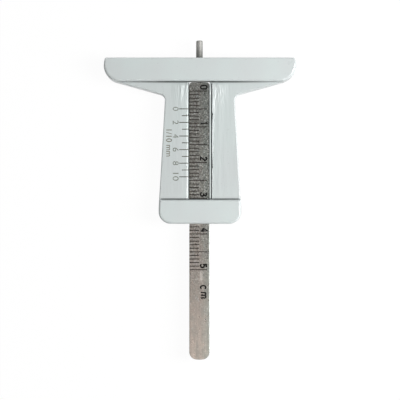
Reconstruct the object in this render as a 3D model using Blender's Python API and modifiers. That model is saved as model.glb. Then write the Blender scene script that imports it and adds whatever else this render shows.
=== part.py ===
"""Tread depth caliper: a moulded T frame, a graduated blade with its measuring pin, and a leaf spring.

The caliper lies on its back. +Z is the side with the scales, +Y the way the pin comes out, +X the
right-hand side of someone who reads it. x = 0 is the middle of the frame, z = 0 the plane of its back,
and y = 0 the middle of the whole length with the pin out by the reading below. A drop is a distance
from the measuring face towards the foot.
"""

from math import atan2, ceil, cos, pi, radians, sin, tan

import bmesh
import bpy
from mathutils import Matrix, Vector

MM = 0.001

# Reading and scales
READING = 5.0 * MM
SCALE_MARKS = 50
SCALE_STEP = 1.0 * MM
LONG_MARK_EVERY = 5
VERNIER_MARKS = 10
VERNIER_STEP = 1.9 * MM
LONG_VERNIER_EVERY = 2

# Frame, seen from the front
FACE_HALF_WIDTH = 26.5 * MM
FACE_CORNER_RADIUS = 0.6 * MM
END_HALF_WIDTH = 27.5 * MM
END_DROP = 5.65 * MM
END_RADIUS = 4.7 * MM
NECK_HALF_WIDTH = 9.72 * MM
NECK_DROP = 10.75 * MM
NECK_RADIUS = 1.8 * MM
BAR_HEIGHT = 6.55 * MM
FOOT_DROP = 39.45 * MM
FOOT_HEIGHT = 6.95 * MM
FOOT_SHOULDER_HALF_WIDTH = 11.48 * MM
FOOT_SHOULDER = 1.5 * MM
FOOT_HALF_WIDTH = 11.62 * MM
FOOT_RADIUS = 3.0 * MM

# Frame, in depth
FRAME_DEPTH = 8.0 * MM
BAR_STEP = 1.8 * MM
WALL = 1.6 * MM
SKIN = 1.8 * MM
RIB = 1.0 * MM
RIB_RECESS = 0.5 * MM
CHANNEL_FLOOR = 1.5 * MM
STEP_DRAFT = radians(3)
STEP_LIP_RADIUS = 0.45 * MM
STEP_FOOT_RADIUS = 0.2 * MM
VERNIER_LIP_RADIUS = 0.6 * MM
UPPER_SHUT_OFF = 0.9 * MM
LOWER_SHUT_OFF = 0.2 * MM
FRONT_RADIUS = 0.9 * MM
BACK_EDGE_RADIUS = 0.3 * MM
CHANNEL_FOOT_RADIUS = 0.12 * MM
FACE_EDGE_SHARE = 0.3
FOOT_EDGE_SHARE = 0.75
WING_RIB_SHARES = (0.44, 0.7)
WEB_RIB_SHARES = (0.36, 0.69)

# Blade
BLADE_WIDTH = 5.65 * MM
BLADE_THICKNESS = 2.0 * MM
BLADE_LENGTH = 77.5 * MM
BLADE_TOP_RADIUS = 1.0 * MM
BLADE_END_RADIUS = 2.1 * MM
BLADE_END_BOW = 0.2 * MM
BLADE_EDGE_RADIUS = 0.2 * MM
BLADE_BELOW_WEB = 0.5 * MM
BLADE_CLEARANCE = 0.15 * MM
TUNNEL_SIDE_CLEARANCE = 0.06 * MM
ZERO_MARK_INSET = 2.2 * MM

# Beside the blade: open room on the vernier's side, and a thin tongue of the frame on the other
VERNIER_SIDE_ROOM = 0.38 * MM
TONGUE_CLEARANCE = 0.08 * MM
TONGUE_THICKNESS = 0.33 * MM
TONGUE_LIP_RADIUS = 0.08 * MM
SLOT_LAND = 0.45 * MM

# Measuring pin
PIN_DIAMETER = 1.85 * MM
PIN_REACH = 12.0 * MM
PIN_TIP_ROUNDING = 0.35 * MM
SPIGOT_DIAMETER = 1.0 * MM
SPIGOT_LENGTH = 4.0 * MM
SPIGOT_CLEARANCE = 0.15 * MM
SEAT_GAP = 0.1 * MM

# Leaf spring, and the pockets that its ends press into
SPRING_SPAN = 15.4 * MM
SPRING_THICKNESS = 0.12 * MM
SPRING_HEIGHT = 1.5 * MM
SPRING_BOW = 0.11 * MM
SPRING_GAP = 0.04 * MM
POCKET_DEPTH = 0.22 * MM

# Engraved lines
MARK_WIDTH = 0.22 * MM
MARK_DEPTH = 0.12 * MM
SHORT_MARK = 2.8 * MM
LONG_MARK = 5.0 * MM
MARK_END_MARGIN = 0.05 * MM
SHORT_VERNIER_MARK = 1.85 * MM
LONG_VERNIER_MARK = 2.6 * MM

# How finely round shapes are cut, and how far cutters run past what they cut
ARC_STEP = radians(12)
LIP_SWEEP = radians(80)
LIP_SEGMENTS = 4
EDGE_SEGMENTS = 3
ROUND_SEGMENTS = 24
SPRING_SEGMENTS = 24
POCKET_SEGMENTS = 6
OVERRUN = 1.0 * MM
MERGE = 0.001 * MM
FLAT_ANGLE = radians(0.3)

# Places that follow from the sizes
PIN_AND_BLADE = PIN_REACH + BLADE_LENGTH
FACE_Y = PIN_AND_BLADE / 2 - READING
FOOT_END_DROP = FOOT_DROP + FOOT_HEIGHT
WEB_FRONT = FRAME_DEPTH - BAR_STEP
BLADE_FRONT = WEB_FRONT - BLADE_BELOW_WEB
BLADE_BACK = BLADE_FRONT - BLADE_THICKNESS
BLADE_MIDDLE = (BLADE_FRONT + BLADE_BACK) / 2
BLADE_TOP_DROP = PIN_REACH - READING
FLOOR_FRONT = BLADE_BACK - BLADE_CLEARANCE
FLOOR_BACK = FLOOR_FRONT - CHANNEL_FLOOR
TUNNEL_ROOF = BLADE_FRONT + BLADE_CLEARANCE
TUNNEL_HALF_WIDTH = BLADE_WIDTH / 2 + TUNNEL_SIDE_CLEARANCE
CHANNEL_LEFT = -BLADE_WIDTH / 2 - VERNIER_SIDE_ROOM
CHANNEL_RIGHT = BLADE_WIDTH / 2 + TONGUE_CLEARANCE
SLOT_LEFT = CHANNEL_RIGHT + TONGUE_THICKNESS
SLOT_RIGHT = SLOT_LEFT + SPRING_THICKNESS + SPRING_BOW + 2 * SPRING_GAP
SPRING_CROWN = SLOT_LEFT + SPRING_GAP + SPRING_THICKNESS / 2
SPRING_END = SLOT_RIGHT + POCKET_DEPTH - SPRING_GAP - SPRING_THICKNESS / 2
STEP_LEAN = BAR_STEP * tan(STEP_DRAFT)
BAR_WALL_DROP = BAR_HEIGHT + STEP_LEAN
FOOT_WALL_DROP = FOOT_DROP - STEP_LEAN
CHANNEL_TOP_DROP = BAR_WALL_DROP + STEP_FOOT_RADIUS / 2
CHANNEL_END_DROP = FOOT_WALL_DROP - STEP_FOOT_RADIUS / 2
CHANNEL_MIDDLE_DROP = (BAR_WALL_DROP + FOOT_WALL_DROP) / 2
SLOT_TOP_DROP = BAR_WALL_DROP + SLOT_LAND
VERNIER_ZERO_DROP = PIN_REACH + ZERO_MARK_INSET
WIDTH_LIMIT = END_HALF_WIDTH + OVERRUN


def level(drop):
    """The y of a place that lies a drop below the measuring face."""
    return FACE_Y - drop


def empty_scene():
    """Removes what a new file holds, and makes the two collections."""
    for obj in list(bpy.data.objects):
        bpy.data.objects.remove(obj, do_unlink=True)
    collections = []
    for name in ("tread_depth_caliper", "cutters"):
        collection = bpy.data.collections.new(name)
        bpy.context.scene.collection.children.link(collection)
        collections.append(collection)
    return collections


PARTS, CUTTERS = empty_scene()


def arc(centre, radius, start, end, segments):
    """Points along an arc, its angles measured from +x towards +y."""
    points = []
    for i in range(segments + 1):
        angle = start + (end - start) * i / segments
        points.append(Vector((centre[0] + radius * cos(angle), centre[1] + radius * sin(angle))))
    return points


def rounding_lengths(corners):
    """How far each rounding reaches along its two sides, limited by the room that they have."""
    places = [Vector(corner[:2]) for corner in corners]
    reaches = []
    for i, (x, y, radius) in enumerate(corners):
        back = places[i - 1] - places[i]
        ahead = places[(i + 1) % len(places)] - places[i]
        reaches.append(radius / tan(back.angle(ahead) / 2))
    limited = list(reaches)
    for i, reach in enumerate(reaches):
        side = (places[i] - places[i - 1]).length
        share = min(side / max(reach + reaches[i - 1], side), 1)
        limited[i] = min(limited[i], reach * share)
        limited[i - 1] = min(limited[i - 1], reaches[i - 1] * share)
    return limited


def rounded(corners):
    """A closed outline from corners, each an x, a y and the radius of its rounding."""
    points = []
    for i, ((x, y, wanted), reach) in enumerate(zip(corners, rounding_lengths(corners))):
        corner = Vector((x, y))
        back = (Vector(corners[i - 1][:2]) - corner).normalized()
        ahead = (Vector(corners[(i + 1) % len(corners)][:2]) - corner).normalized()
        if wanted == 0:
            points.append(corner)
            continue
        half = back.angle(ahead) / 2
        radius = reach * tan(half)
        centre = corner + (back + ahead).normalized() * radius / sin(half)
        first = corner + back * reach - centre
        last = corner + ahead * reach - centre
        start = atan2(first.y, first.x)
        turn = atan2(first.cross(last), first.dot(last))
        segments = max(2, ceil(abs(turn) / ARC_STEP))
        points += arc(centre, radius, start, start + turn, segments)
    return points


def inset(corners, distance):
    """The same outline, which runs anticlockwise, with every side moved in by a distance."""
    moved = []
    for i, (x, y, radius) in enumerate(corners):
        corner = Vector((x, y))
        arriving = (corner - Vector(corners[i - 1][:2])).normalized()
        leaving = (Vector(corners[(i + 1) % len(corners)][:2]) - corner).normalized()
        normal_in = Vector((-arriving.y, arriving.x))
        normal_out = Vector((-leaving.y, leaving.x))
        corner = corner + (normal_in + normal_out) * distance / (1 + normal_in.dot(normal_out))
        convex = arriving.cross(leaving) > 0
        moved.append((corner.x, corner.y, max(radius - distance, 0) if convex else radius + distance))
    return moved


def place_mesh(name, mesh, collection):
    """An object for a mesh, in the collection of parts or in that of cutters."""
    obj = bpy.data.objects.new(name, mesh)
    collection.objects.link(obj)
    if collection is CUTTERS:
        obj.hide_render = True
        obj.display_type = "WIRE"
    return obj


def evaluated(obj):
    """The mesh of an object as its modifiers leave it, in world space."""
    bpy.context.view_layer.update()
    seen = obj.evaluated_get(bpy.context.evaluated_depsgraph_get())
    mesh = bpy.data.meshes.new_from_object(seen)
    mesh.transform(obj.matrix_world)
    return mesh


def prism(name, outline, low, high, turn, shift, collection):
    """A filled outline with its thickness from low to high, turned from the XY plane to its own."""
    curve = bpy.data.curves.new(name, "CURVE")
    curve.dimensions = "2D"
    curve.fill_mode = "BOTH"
    curve.extrude = (high - low) / 2
    spline = curve.splines.new("POLY")
    spline.points.add(len(outline) - 1)
    for point, (x, y) in zip(spline.points, outline):
        point.co = (x, y, 0, 1)
    spline.use_cyclic_u = True
    guide = bpy.data.objects.new(name, curve)
    PARTS.objects.link(guide)
    guide.matrix_world = Matrix.Translation(shift * (low + high) / 2) @ turn
    mesh = evaluated(guide)
    bpy.data.objects.remove(guide, do_unlink=True)
    work = bmesh.new()
    work.from_mesh(mesh)
    bmesh.ops.remove_doubles(work, verts=work.verts, dist=MERGE)
    bmesh.ops.dissolve_limit(work, angle_limit=FLAT_ANGLE, verts=work.verts, edges=work.edges)
    bmesh.ops.recalc_face_normals(work, faces=work.faces)
    work.to_mesh(mesh)
    work.free()
    return place_mesh(name, mesh, collection)


def plate(name, outline, back, front, collection):
    """An outline seen from the front, between two heights."""
    return prism(name, outline, back, front, Matrix.Identity(4), Vector((0, 0, 1)), collection)


def run_along_y(name, section, low, high, collection):
    """A section of x and z, run along Y."""
    turn = Matrix.Rotation(pi / 2, 4, "X")
    return prism(name, section, low, high, turn, Vector((0, 1, 0)), collection)


def run_along_x(name, section, low, high, collection):
    """A section of y and z, run along X."""
    turn = Matrix(((0, 0, 1), (1, 0, 0), (0, 1, 0))).to_4x4()
    return prism(name, section, low, high, turn, Vector((1, 0, 0)), collection)


def boxes(name, corners, collection):
    """One object of separate boxes, each given by its lowest and its highest corner."""
    work = bmesh.new()
    for low, high in corners:
        low = Vector(low)
        size = Vector(high) - low
        matrix = Matrix.Translation(low + size / 2) @ Matrix.Diagonal(size).to_4x4()
        bmesh.ops.create_cube(work, size=1, matrix=matrix)
    mesh = bpy.data.meshes.new(name)
    work.to_mesh(mesh)
    work.free()
    return place_mesh(name, mesh, collection)


def cylinder(name, radius, low, high, turn, segments, collection):
    """A closed round bar between two points of its axis; turn brings Z to the axis."""
    low = Vector(low)
    high = Vector(high)
    work = bmesh.new()
    matrix = Matrix.Translation((low + high) / 2) @ turn
    bmesh.ops.create_cone(work, cap_ends=True, segments=segments, radius1=radius, radius2=radius,
                          depth=(high - low).length, matrix=matrix)
    mesh = bpy.data.meshes.new(name)
    work.to_mesh(mesh)
    work.free()
    return place_mesh(name, mesh, collection)


def cut(obj, cutter):
    """Takes a cutter's shape out of an object."""
    boolean = obj.modifiers.new("cut_" + cutter.name, "BOOLEAN")
    boolean.operation = "DIFFERENCE"
    boolean.solver = "EXACT"
    boolean.object = cutter


def settle(obj):
    """Makes an object's modifiers part of its mesh."""
    mesh = evaluated(obj)
    obj.modifiers.clear()
    obj.matrix_world = Matrix.Identity(4)
    obj.data = mesh


def even_facets(obj):
    """Splits the faces into even triangles, which keeps thin ones off the long faces."""
    split = obj.modifiers.new("even_facets", "TRIANGULATE")
    split.quad_method = "BEAUTY"
    split.ngon_method = "BEAUTY"


def inward(outline):
    """The way inwards at each point of an anticlockwise outline, as long as moves its sides in by one."""
    ways = []
    for i, point in enumerate(outline):
        arriving = (point - outline[i - 1]).normalized()
        leaving = (outline[(i + 1) % len(outline)] - point).normalized()
        normal_in = Vector((-arriving.y, arriving.x))
        normal_out = Vector((-leaving.y, leaving.x))
        ways.append((normal_in + normal_out) / (1 + normal_in.dot(normal_out)))
    return ways


def rounded_plate(name, outline, back, front, back_radius, front_radius_at, collection):
    """A plate with rounded edges; a front edge has the radius that belongs to its place."""
    outline = [point for i, point in enumerate(outline) if (point - outline[i - 1]).length > MERGE]
    ways = inward(outline)
    work = bmesh.new()
    rings = []
    for i in range(EDGE_SEGMENTS + 1):
        angle = pi / 2 * (1 - i / EDGE_SEGMENTS)
        z = back + back_radius * (1 - sin(angle))
        places = [point + way * back_radius * (1 - cos(angle)) for point, way in zip(outline, ways)]
        rings.append([work.verts.new((place.x, place.y, z)) for place in places])
    for i in range(EDGE_SEGMENTS + 1):
        angle = pi / 2 * i / EDGE_SEGMENTS
        ring = []
        for point, way in zip(outline, ways):
            radius = front_radius_at(FACE_Y - point.y)
            place = point + way * radius * (1 - cos(angle))
            ring.append(work.verts.new((place.x, place.y, front - radius * (1 - sin(angle)))))
        rings.append(ring)
    for lower, upper in zip(rings, rings[1:]):
        for i in range(len(outline)):
            work.faces.new((lower[i - 1], lower[i], upper[i], upper[i - 1]))
    bmesh.ops.triangulate(work, faces=work.faces)
    work.faces.new(rings[0][::-1])
    work.faces.new(rings[-1])
    mesh = bpy.data.meshes.new(name)
    work.to_mesh(mesh)
    work.free()
    return place_mesh(name, mesh, collection)


def finish(name, red, green, blue, roughness, metallic):
    """A surface finish."""
    material = bpy.data.materials.new(name)
    material.use_nodes = True
    shader = material.node_tree.nodes["Principled BSDF"]
    shader.inputs["Base Color"].default_value = (red, green, blue, 1)
    shader.inputs["Roughness"].default_value = roughness
    shader.inputs["Metallic"].default_value = metallic
    return material


def right_side():
    """Corners of the frame's right side, from the foot up to the measuring face."""
    return [
        (FOOT_HALF_WIDTH, level(FOOT_END_DROP), FOOT_RADIUS),
        (FOOT_SHOULDER_HALF_WIDTH, level(FOOT_DROP + FOOT_SHOULDER), 0),
        (NECK_HALF_WIDTH, level(NECK_DROP), NECK_RADIUS),
        (END_HALF_WIDTH, level(END_DROP), END_RADIUS),
        (FACE_HALF_WIDTH, level(0), FACE_CORNER_RADIUS),
    ]


def mirrored(corners):
    """The same corners on the other side of x = 0, in the order that closes the outline."""
    return [(-x, y, radius) for x, y, radius in reversed(corners)]


def wall_section(place, side, floor, front, foot_radius, lip_radius, lean):
    """One wall of an open recess, from its floor up: a rounded foot, the wall and a rounded lip."""
    foot = arc((place - side * foot_radius, floor + foot_radius), foot_radius, -pi / 2, 0, 2)
    lip_centre = (place + side * (lean + lip_radius), front - lip_radius)
    lip = arc(lip_centre, lip_radius, pi, pi - LIP_SWEEP, LIP_SEGMENTS)
    if side < 0:
        foot = [Vector((2 * (place + foot_radius) - point.x, point.y)) for point in foot]
        lip = [Vector((2 * lip_centre[0] - point.x, point.y)) for point in lip]
    run = lip[-1] + Vector((side * sin(LIP_SWEEP), cos(LIP_SWEEP))) * lip_radius
    top = Vector((run.x, front + OVERRUN))
    return foot + lip + [run, top]


def recess_section(low, high, floor, front, foot_radius, low_lip, high_lip, lean):
    """Section of a cutter for a recess between two walls, open to the front."""
    rising = wall_section(high, 1, floor, front, foot_radius, high_lip, lean)
    falling = wall_section(low, -1, floor, front, foot_radius, low_lip, lean)
    return rising + falling[::-1]


def edge_share(drop):
    """How round the front edge is: least at the measuring face, most at the ends of the bar."""
    if drop > BAR_HEIGHT:
        return FOOT_EDGE_SHARE
    ramp = min(drop / (BAR_HEIGHT / 2), 1)
    return FACE_EDGE_SHARE + (1 - FACE_EDGE_SHARE) * ramp


def cored_back(hand, side, channel_wall):
    """The hollow behind one half of the frame, with its stiffening ribs left standing."""
    corners = [(channel_wall, level(FOOT_END_DROP), 0)] + right_side() + [(channel_wall, level(0), 0)]
    hollow = inset(corners, WALL)
    if side < 0:
        hollow = mirrored(hollow)
    cutter = plate(hand + "_hollow", rounded(hollow), -OVERRUN, FRAME_DEPTH - SKIN, CUTTERS)
    ceiling = FRAME_DEPTH + OVERRUN
    kept = [((-WIDTH_LIMIT, level(FOOT_DROP + WALL), WEB_FRONT - SKIN),
             (WIDTH_LIMIT, level(BAR_HEIGHT - WALL), ceiling))]
    ribs = []
    for share in WING_RIB_SHARES:
        middle = side * share * FACE_HALF_WIDTH
        ribs.append(((middle - RIB / 2, level(NECK_DROP), RIB_RECESS),
                     (middle + RIB / 2, level(0), ceiling)))
    for share in WEB_RIB_SHARES:
        middle = level(NECK_DROP + share * (FOOT_DROP - NECK_DROP))
        ribs.append(((-WIDTH_LIMIT, middle - RIB / 2, RIB_RECESS),
                     (WIDTH_LIMIT, middle + RIB / 2, ceiling)))
    cut(cutter, boxes(hand + "_web_skin", kept, CUTTERS))
    cut(cutter, boxes(hand + "_ribs", ribs, CUTTERS))
    settle(cutter)
    return cutter


def blade_way():
    """The way of the blade through both bars, open to the back, and the hollow behind its floor."""
    top = level(-OVERRUN)
    end = level(FOOT_END_DROP + OVERRUN)
    upper_window = level(BAR_WALL_DROP + UPPER_SHUT_OFF)
    lower_window = level(FOOT_WALL_DROP - LOWER_SHUT_OFF)
    section = [(top, -OVERRUN), (top, TUNNEL_ROOF), (upper_window, TUNNEL_ROOF),
               (upper_window, FLOOR_BACK), (lower_window, FLOOR_BACK), (lower_window, TUNNEL_ROOF),
               (end, TUNNEL_ROOF), (end, -OVERRUN)]
    return run_along_x("blade_way", section, -TUNNEL_HALF_WIDTH, TUNNEL_HALF_WIDTH, CUTTERS)


def spring_line(segments):
    """The bowed line of the spring, from its lower end up: its crown lies in the middle, near the tongue."""
    points = []
    for i in range(segments + 1):
        share = 2 * i / segments - 1
        x = SPRING_END - (SPRING_END - SPRING_CROWN) * cos(share * pi / 2)
        points.append((x, level(CHANNEL_MIDDLE_DROP) + share * SPRING_SPAN / 2))
    return points


def spring_slot():
    """The slot that frees the tongue, with a pocket in its right wall for each end of the spring."""
    room = SPRING_THICKNESS / 2 + SPRING_GAP
    line = spring_line(POCKET_SEGMENTS)
    wall = [(max(x + room, SLOT_RIGHT), y) for x, y in line]
    first = (wall[0][0], line[0][1] - SPRING_GAP)
    last = (wall[-1][0], line[-1][1] + SPRING_GAP)
    low = level(CHANNEL_END_DROP)
    high = level(SLOT_TOP_DROP)
    outline = [(SLOT_LEFT, high), (SLOT_LEFT, low), (SLOT_RIGHT, low), (SLOT_RIGHT, first[1]), first]
    outline += wall[1:-1] + [last, (SLOT_RIGHT, last[1]), (SLOT_RIGHT, high)]
    return plate("spring_slot", outline, FLOOR_FRONT, WEB_FRONT + OVERRUN, CUTTERS)


def vernier_marks():
    """Cutters for the lines of the vernier, which end where the edge of the channel rounds off."""
    end = CHANNEL_LEFT - VERNIER_LIP_RADIUS - MARK_END_MARGIN
    marks = []
    for i in range(VERNIER_MARKS + 1):
        length = LONG_VERNIER_MARK if i % LONG_VERNIER_EVERY == 0 else SHORT_VERNIER_MARK
        y = level(VERNIER_ZERO_DROP + i * VERNIER_STEP)
        marks.append(((CHANNEL_LEFT - length, y - MARK_WIDTH / 2, WEB_FRONT - MARK_DEPTH),
                      (end, y + MARK_WIDTH / 2, WEB_FRONT + OVERRUN)))
    return boxes("vernier_marks", marks, CUTTERS)


def make_frame():
    """The moulded frame: measuring bar, recessed web with the blade's channel, and foot."""
    outline = rounded(right_side() + mirrored(right_side()))
    frame = rounded_plate("gauge_frame", outline, 0, FRAME_DEPTH, BACK_EDGE_RADIUS,
                          lambda drop: FRONT_RADIUS * edge_share(drop), PARTS)
    step = recess_section(level(FOOT_WALL_DROP), level(BAR_WALL_DROP), WEB_FRONT, FRAME_DEPTH,
                          STEP_FOOT_RADIUS, STEP_LIP_RADIUS, STEP_LIP_RADIUS, STEP_LEAN)
    cut(frame, run_along_x("web_recess", step, -WIDTH_LIMIT, WIDTH_LIMIT, CUTTERS))
    channel = recess_section(CHANNEL_LEFT, CHANNEL_RIGHT, FLOOR_FRONT, WEB_FRONT,
                             CHANNEL_FOOT_RADIUS, VERNIER_LIP_RADIUS, TONGUE_LIP_RADIUS, 0)
    cut(frame, run_along_y("channel", channel, level(CHANNEL_END_DROP), level(CHANNEL_TOP_DROP), CUTTERS))
    cut(frame, spring_slot())
    cut(frame, blade_way())
    cut(frame, cored_back("right", 1, SLOT_RIGHT))
    cut(frame, cored_back("left", -1, -CHANNEL_LEFT))
    cut(frame, vernier_marks())
    even_facets(frame)
    frame.data.materials.append(finish("pale_grey_abs", 0.56, 0.61, 0.61, 0.32, 0))
    return frame


def make_blade(carrier):
    """The stamped blade: rounded ends, a millimetre scale from 0 to 50 and a bore for the pin."""
    half = BLADE_WIDTH / 2
    top = level(BLADE_TOP_DROP)
    end = top - BLADE_LENGTH
    corners = [(half, end + BLADE_END_BOW, BLADE_END_RADIUS), (half, top, BLADE_TOP_RADIUS),
               (-half, top, BLADE_TOP_RADIUS), (-half, end + BLADE_END_BOW, BLADE_END_RADIUS), (0, end, 0)]
    blade = rounded_plate("sliding_blade", rounded(corners), BLADE_BACK, BLADE_FRONT, BLADE_EDGE_RADIUS,
                          lambda drop: BLADE_EDGE_RADIUS, PARTS)
    start = -half + BLADE_EDGE_RADIUS + MARK_END_MARGIN
    marks = []
    for i in range(SCALE_MARKS + 1):
        length = LONG_MARK if i % LONG_MARK_EVERY == 0 else SHORT_MARK
        y = top - ZERO_MARK_INSET - i * SCALE_STEP
        marks.append(((start, y - MARK_WIDTH / 2, BLADE_FRONT - MARK_DEPTH),
                      (-half + length, y + MARK_WIDTH / 2, BLADE_FRONT + OVERRUN)))
    cut(blade, boxes("scale_marks", marks, CUTTERS))
    bore = cylinder("pin_bore", SPIGOT_DIAMETER / 2 + SPIGOT_CLEARANCE,
                    (0, top - SPIGOT_LENGTH - SEAT_GAP, BLADE_MIDDLE), (0, top + OVERRUN, BLADE_MIDDLE),
                    Matrix.Rotation(pi / 2, 4, "X"), ROUND_SEGMENTS, CUTTERS)
    cut(blade, bore)
    even_facets(blade)
    settle(blade)
    ride(blade, carrier)
    blade.data.materials.append(finish("stainless_strip", 0.33, 0.32, 0.30, 0.38, 1))
    return blade


def make_pin(carrier):
    """The turned pin: a rounded tip, the shank and the spigot that is pressed into the blade."""
    radius = PIN_DIAMETER / 2
    tip = PIN_REACH
    profile = [(0, tip), (radius - PIN_TIP_ROUNDING, tip)]
    profile += arc((radius - PIN_TIP_ROUNDING, tip - PIN_TIP_ROUNDING), PIN_TIP_ROUNDING,
                   pi / 2, 0, EDGE_SEGMENTS)[1:]
    profile += [(radius, SEAT_GAP), (SPIGOT_DIAMETER / 2, SEAT_GAP),
                (SPIGOT_DIAMETER / 2, -SPIGOT_LENGTH), (0, -SPIGOT_LENGTH)]
    work = bmesh.new()
    verts = [work.verts.new((x, 0, z)) for x, z in profile]
    for first, second in zip(verts, verts[1:]):
        work.edges.new((first, second))
    mesh = bpy.data.meshes.new("measuring_pin")
    work.to_mesh(mesh)
    work.free()
    pin = place_mesh("measuring_pin", mesh, PARTS)
    screw = pin.modifiers.new("turned", "SCREW")
    screw.steps = ROUND_SEGMENTS
    screw.render_steps = ROUND_SEGMENTS
    screw.use_merge_vertices = True
    screw.merge_threshold = MERGE
    pin.matrix_world = (Matrix.Translation((0, level(BLADE_TOP_DROP), BLADE_MIDDLE))
                        @ Matrix.Rotation(-pi / 2, 4, "X"))
    settle(pin)
    pin.data.shade_smooth()
    pin.data.set_sharp_from_angle(angle=radians(40))
    ride(pin, carrier)
    pin.data.materials.append(finish("ground_steel", 0.36, 0.36, 0.35, 0.28, 1))
    return pin


def make_spring():
    """The friction spring: a thin strip on edge in the slot, bowed so that it presses the tongue to the blade."""
    base = FLOOR_FRONT + SPRING_GAP
    work = bmesh.new()
    verts = [work.verts.new((x, y, base)) for x, y in spring_line(SPRING_SEGMENTS)]
    edges = [work.edges.new(pair) for pair in zip(verts, verts[1:])]
    raised = bmesh.ops.extrude_edge_only(work, edges=edges)["geom"]
    top = [item for item in raised if isinstance(item, bmesh.types.BMVert)]
    bmesh.ops.translate(work, verts=top, vec=(0, 0, SPRING_HEIGHT))
    bmesh.ops.recalc_face_normals(work, faces=work.faces)
    mesh = bpy.data.meshes.new("leaf_spring")
    work.to_mesh(mesh)
    work.free()
    spring = place_mesh("leaf_spring", mesh, PARTS)
    strip = spring.modifiers.new("strip", "SOLIDIFY")
    strip.thickness = SPRING_THICKNESS
    strip.offset = 0
    spring.data.materials.append(finish("spring_steel", 0.45, 0.45, 0.44, 0.3, 1))
    return spring


def ride(obj, carrier):
    """Puts a moving piece on the empty that marks the line it slides along."""
    obj.data.transform(Matrix.Translation(-carrier.location))
    obj.parent = carrier


def make_carrier():
    """An empty on the blade's centre line; the blade and its pin slide with it along Y."""
    carrier = bpy.data.objects.new("blade_slide", None)
    carrier.location = (0, level(BLADE_TOP_DROP), BLADE_MIDDLE)
    carrier.empty_display_size = BLADE_WIDTH
    PARTS.objects.link(carrier)
    return carrier


def main():
    make_frame()
    carrier = make_carrier()
    make_blade(carrier)
    make_pin(carrier)
    make_spring()


main()
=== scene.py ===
"""Looks of the tread depth caliper: the moulded frame, the etched blade, its pin and the leaf spring.

Sizes are those of the CAD model, a few of them set a little finer, and places are in its frame: +Z is the
side with the scales, +Y the way the pin comes out, and a drop is a distance from the measuring face towards
the foot.
"""

from math import atan2, ceil, cos, pi, radians, sin, tan

import bmesh
import bpy
from mathutils import Matrix, Vector


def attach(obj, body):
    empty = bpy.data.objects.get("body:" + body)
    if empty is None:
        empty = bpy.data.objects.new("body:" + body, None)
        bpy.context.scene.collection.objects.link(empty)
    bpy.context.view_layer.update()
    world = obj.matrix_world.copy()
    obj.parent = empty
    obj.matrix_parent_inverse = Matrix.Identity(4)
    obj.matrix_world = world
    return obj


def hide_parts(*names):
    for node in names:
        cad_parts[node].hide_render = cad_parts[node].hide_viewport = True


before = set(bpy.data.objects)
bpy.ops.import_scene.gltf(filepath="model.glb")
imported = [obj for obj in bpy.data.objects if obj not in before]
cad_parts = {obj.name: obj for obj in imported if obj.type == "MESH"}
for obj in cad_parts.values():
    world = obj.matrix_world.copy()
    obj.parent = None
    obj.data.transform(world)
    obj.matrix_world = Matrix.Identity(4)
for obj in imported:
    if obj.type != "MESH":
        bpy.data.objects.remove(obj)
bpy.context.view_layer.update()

MM = 0.001

# Scales
SCALE_MARKS = 50
SCALE_STEP = 1.0 * MM
LONG_MARK_EVERY = 5
VERNIER_MARKS = 10
VERNIER_STEP = 1.9 * MM
LONG_VERNIER_EVERY = 2

# Frame, seen from the front
FACE_Y = 39.75 * MM
FACE_HALF_WIDTH = 26.5 * MM
FACE_CORNER_RADIUS = 0.6 * MM
END_HALF_WIDTH = 27.5 * MM
END_DROP = 5.45 * MM
END_RADIUS = 4.5 * MM
NECK_HALF_WIDTH = 9.72 * MM
NECK_DROP = 10.42 * MM
NECK_RADIUS = 1.8 * MM
BAR_HEIGHT = 6.55 * MM
FOOT_DROP = 39.6 * MM
FOOT_END_DROP = 46.32 * MM
SHOULDER_HALF_WIDTH = 11.48 * MM
SHOULDER_DROP = 40.95 * MM
FOOT_HALF_WIDTH = 11.62 * MM
FOOT_RADIUS = 3.4 * MM

# Frame, in depth
FRAME_DEPTH = 8.0 * MM
WEB_FRONT = 6.2 * MM
WALL = 1.6 * MM
SKIN = 1.8 * MM
RIB = 1.0 * MM
RIB_RECESS = 0.5 * MM
RIB_FILLET = 0.25 * MM
STEP_DRAFT = radians(3)
STEP_LIP_RADIUS = 0.45 * MM
CREASE_WIDTH = 0.2 * MM
CREASE_DEPTH = 0.12 * MM
VERNIER_LIP_RADIUS = 0.6 * MM
CHANNEL_FOOT_RADIUS = 0.12 * MM
UPPER_SHUT_OFF = 1.05 * MM
LOWER_SHUT_OFF = 0.2 * MM
FRONT_RADIUS = 0.9 * MM
WEB_EDGE_RADIUS = 0.35 * MM
BACK_EDGE_RADIUS = 0.3 * MM
FACE_EDGE_SHARE = 0.3
FOOT_EDGE_SHARE = 0.75
WING_RIB_SHARES = (0.44, 0.7)
WEB_RIB_SHARES = (0.36, 0.69)
CHANNEL_LEFT = -3.06 * MM
FLOOR_FRONT = 3.55 * MM
FLOOR_BACK = 2.05 * MM
TUNNEL_ROOF = 5.85 * MM
TUNNEL_HALF_WIDTH = 2.885 * MM

# The slide lies a little left of the frame's middle; its shapes are drawn about x = 0 and moved there.
SLIDE_X = -0.15 * MM

# The springy tongue right of the blade, which the spring holds close to it, and the slot behind it
TONGUE_LEFT = 2.84 * MM
TONGUE_LIP_RADIUS = 0.04 * MM
SLOT_LEFT = 3.235 * MM
SLOT_RIGHT = 3.545 * MM
SLOT_LAND = 0.45 * MM
RIM_RUN_OUT = 0.02 * MM
RIM_ROOT = 0.3 * MM
RIM_OVERLAP = 0.04 * MM
RIM_FALL = 1.5
RIM_STEPS = 9
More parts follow.
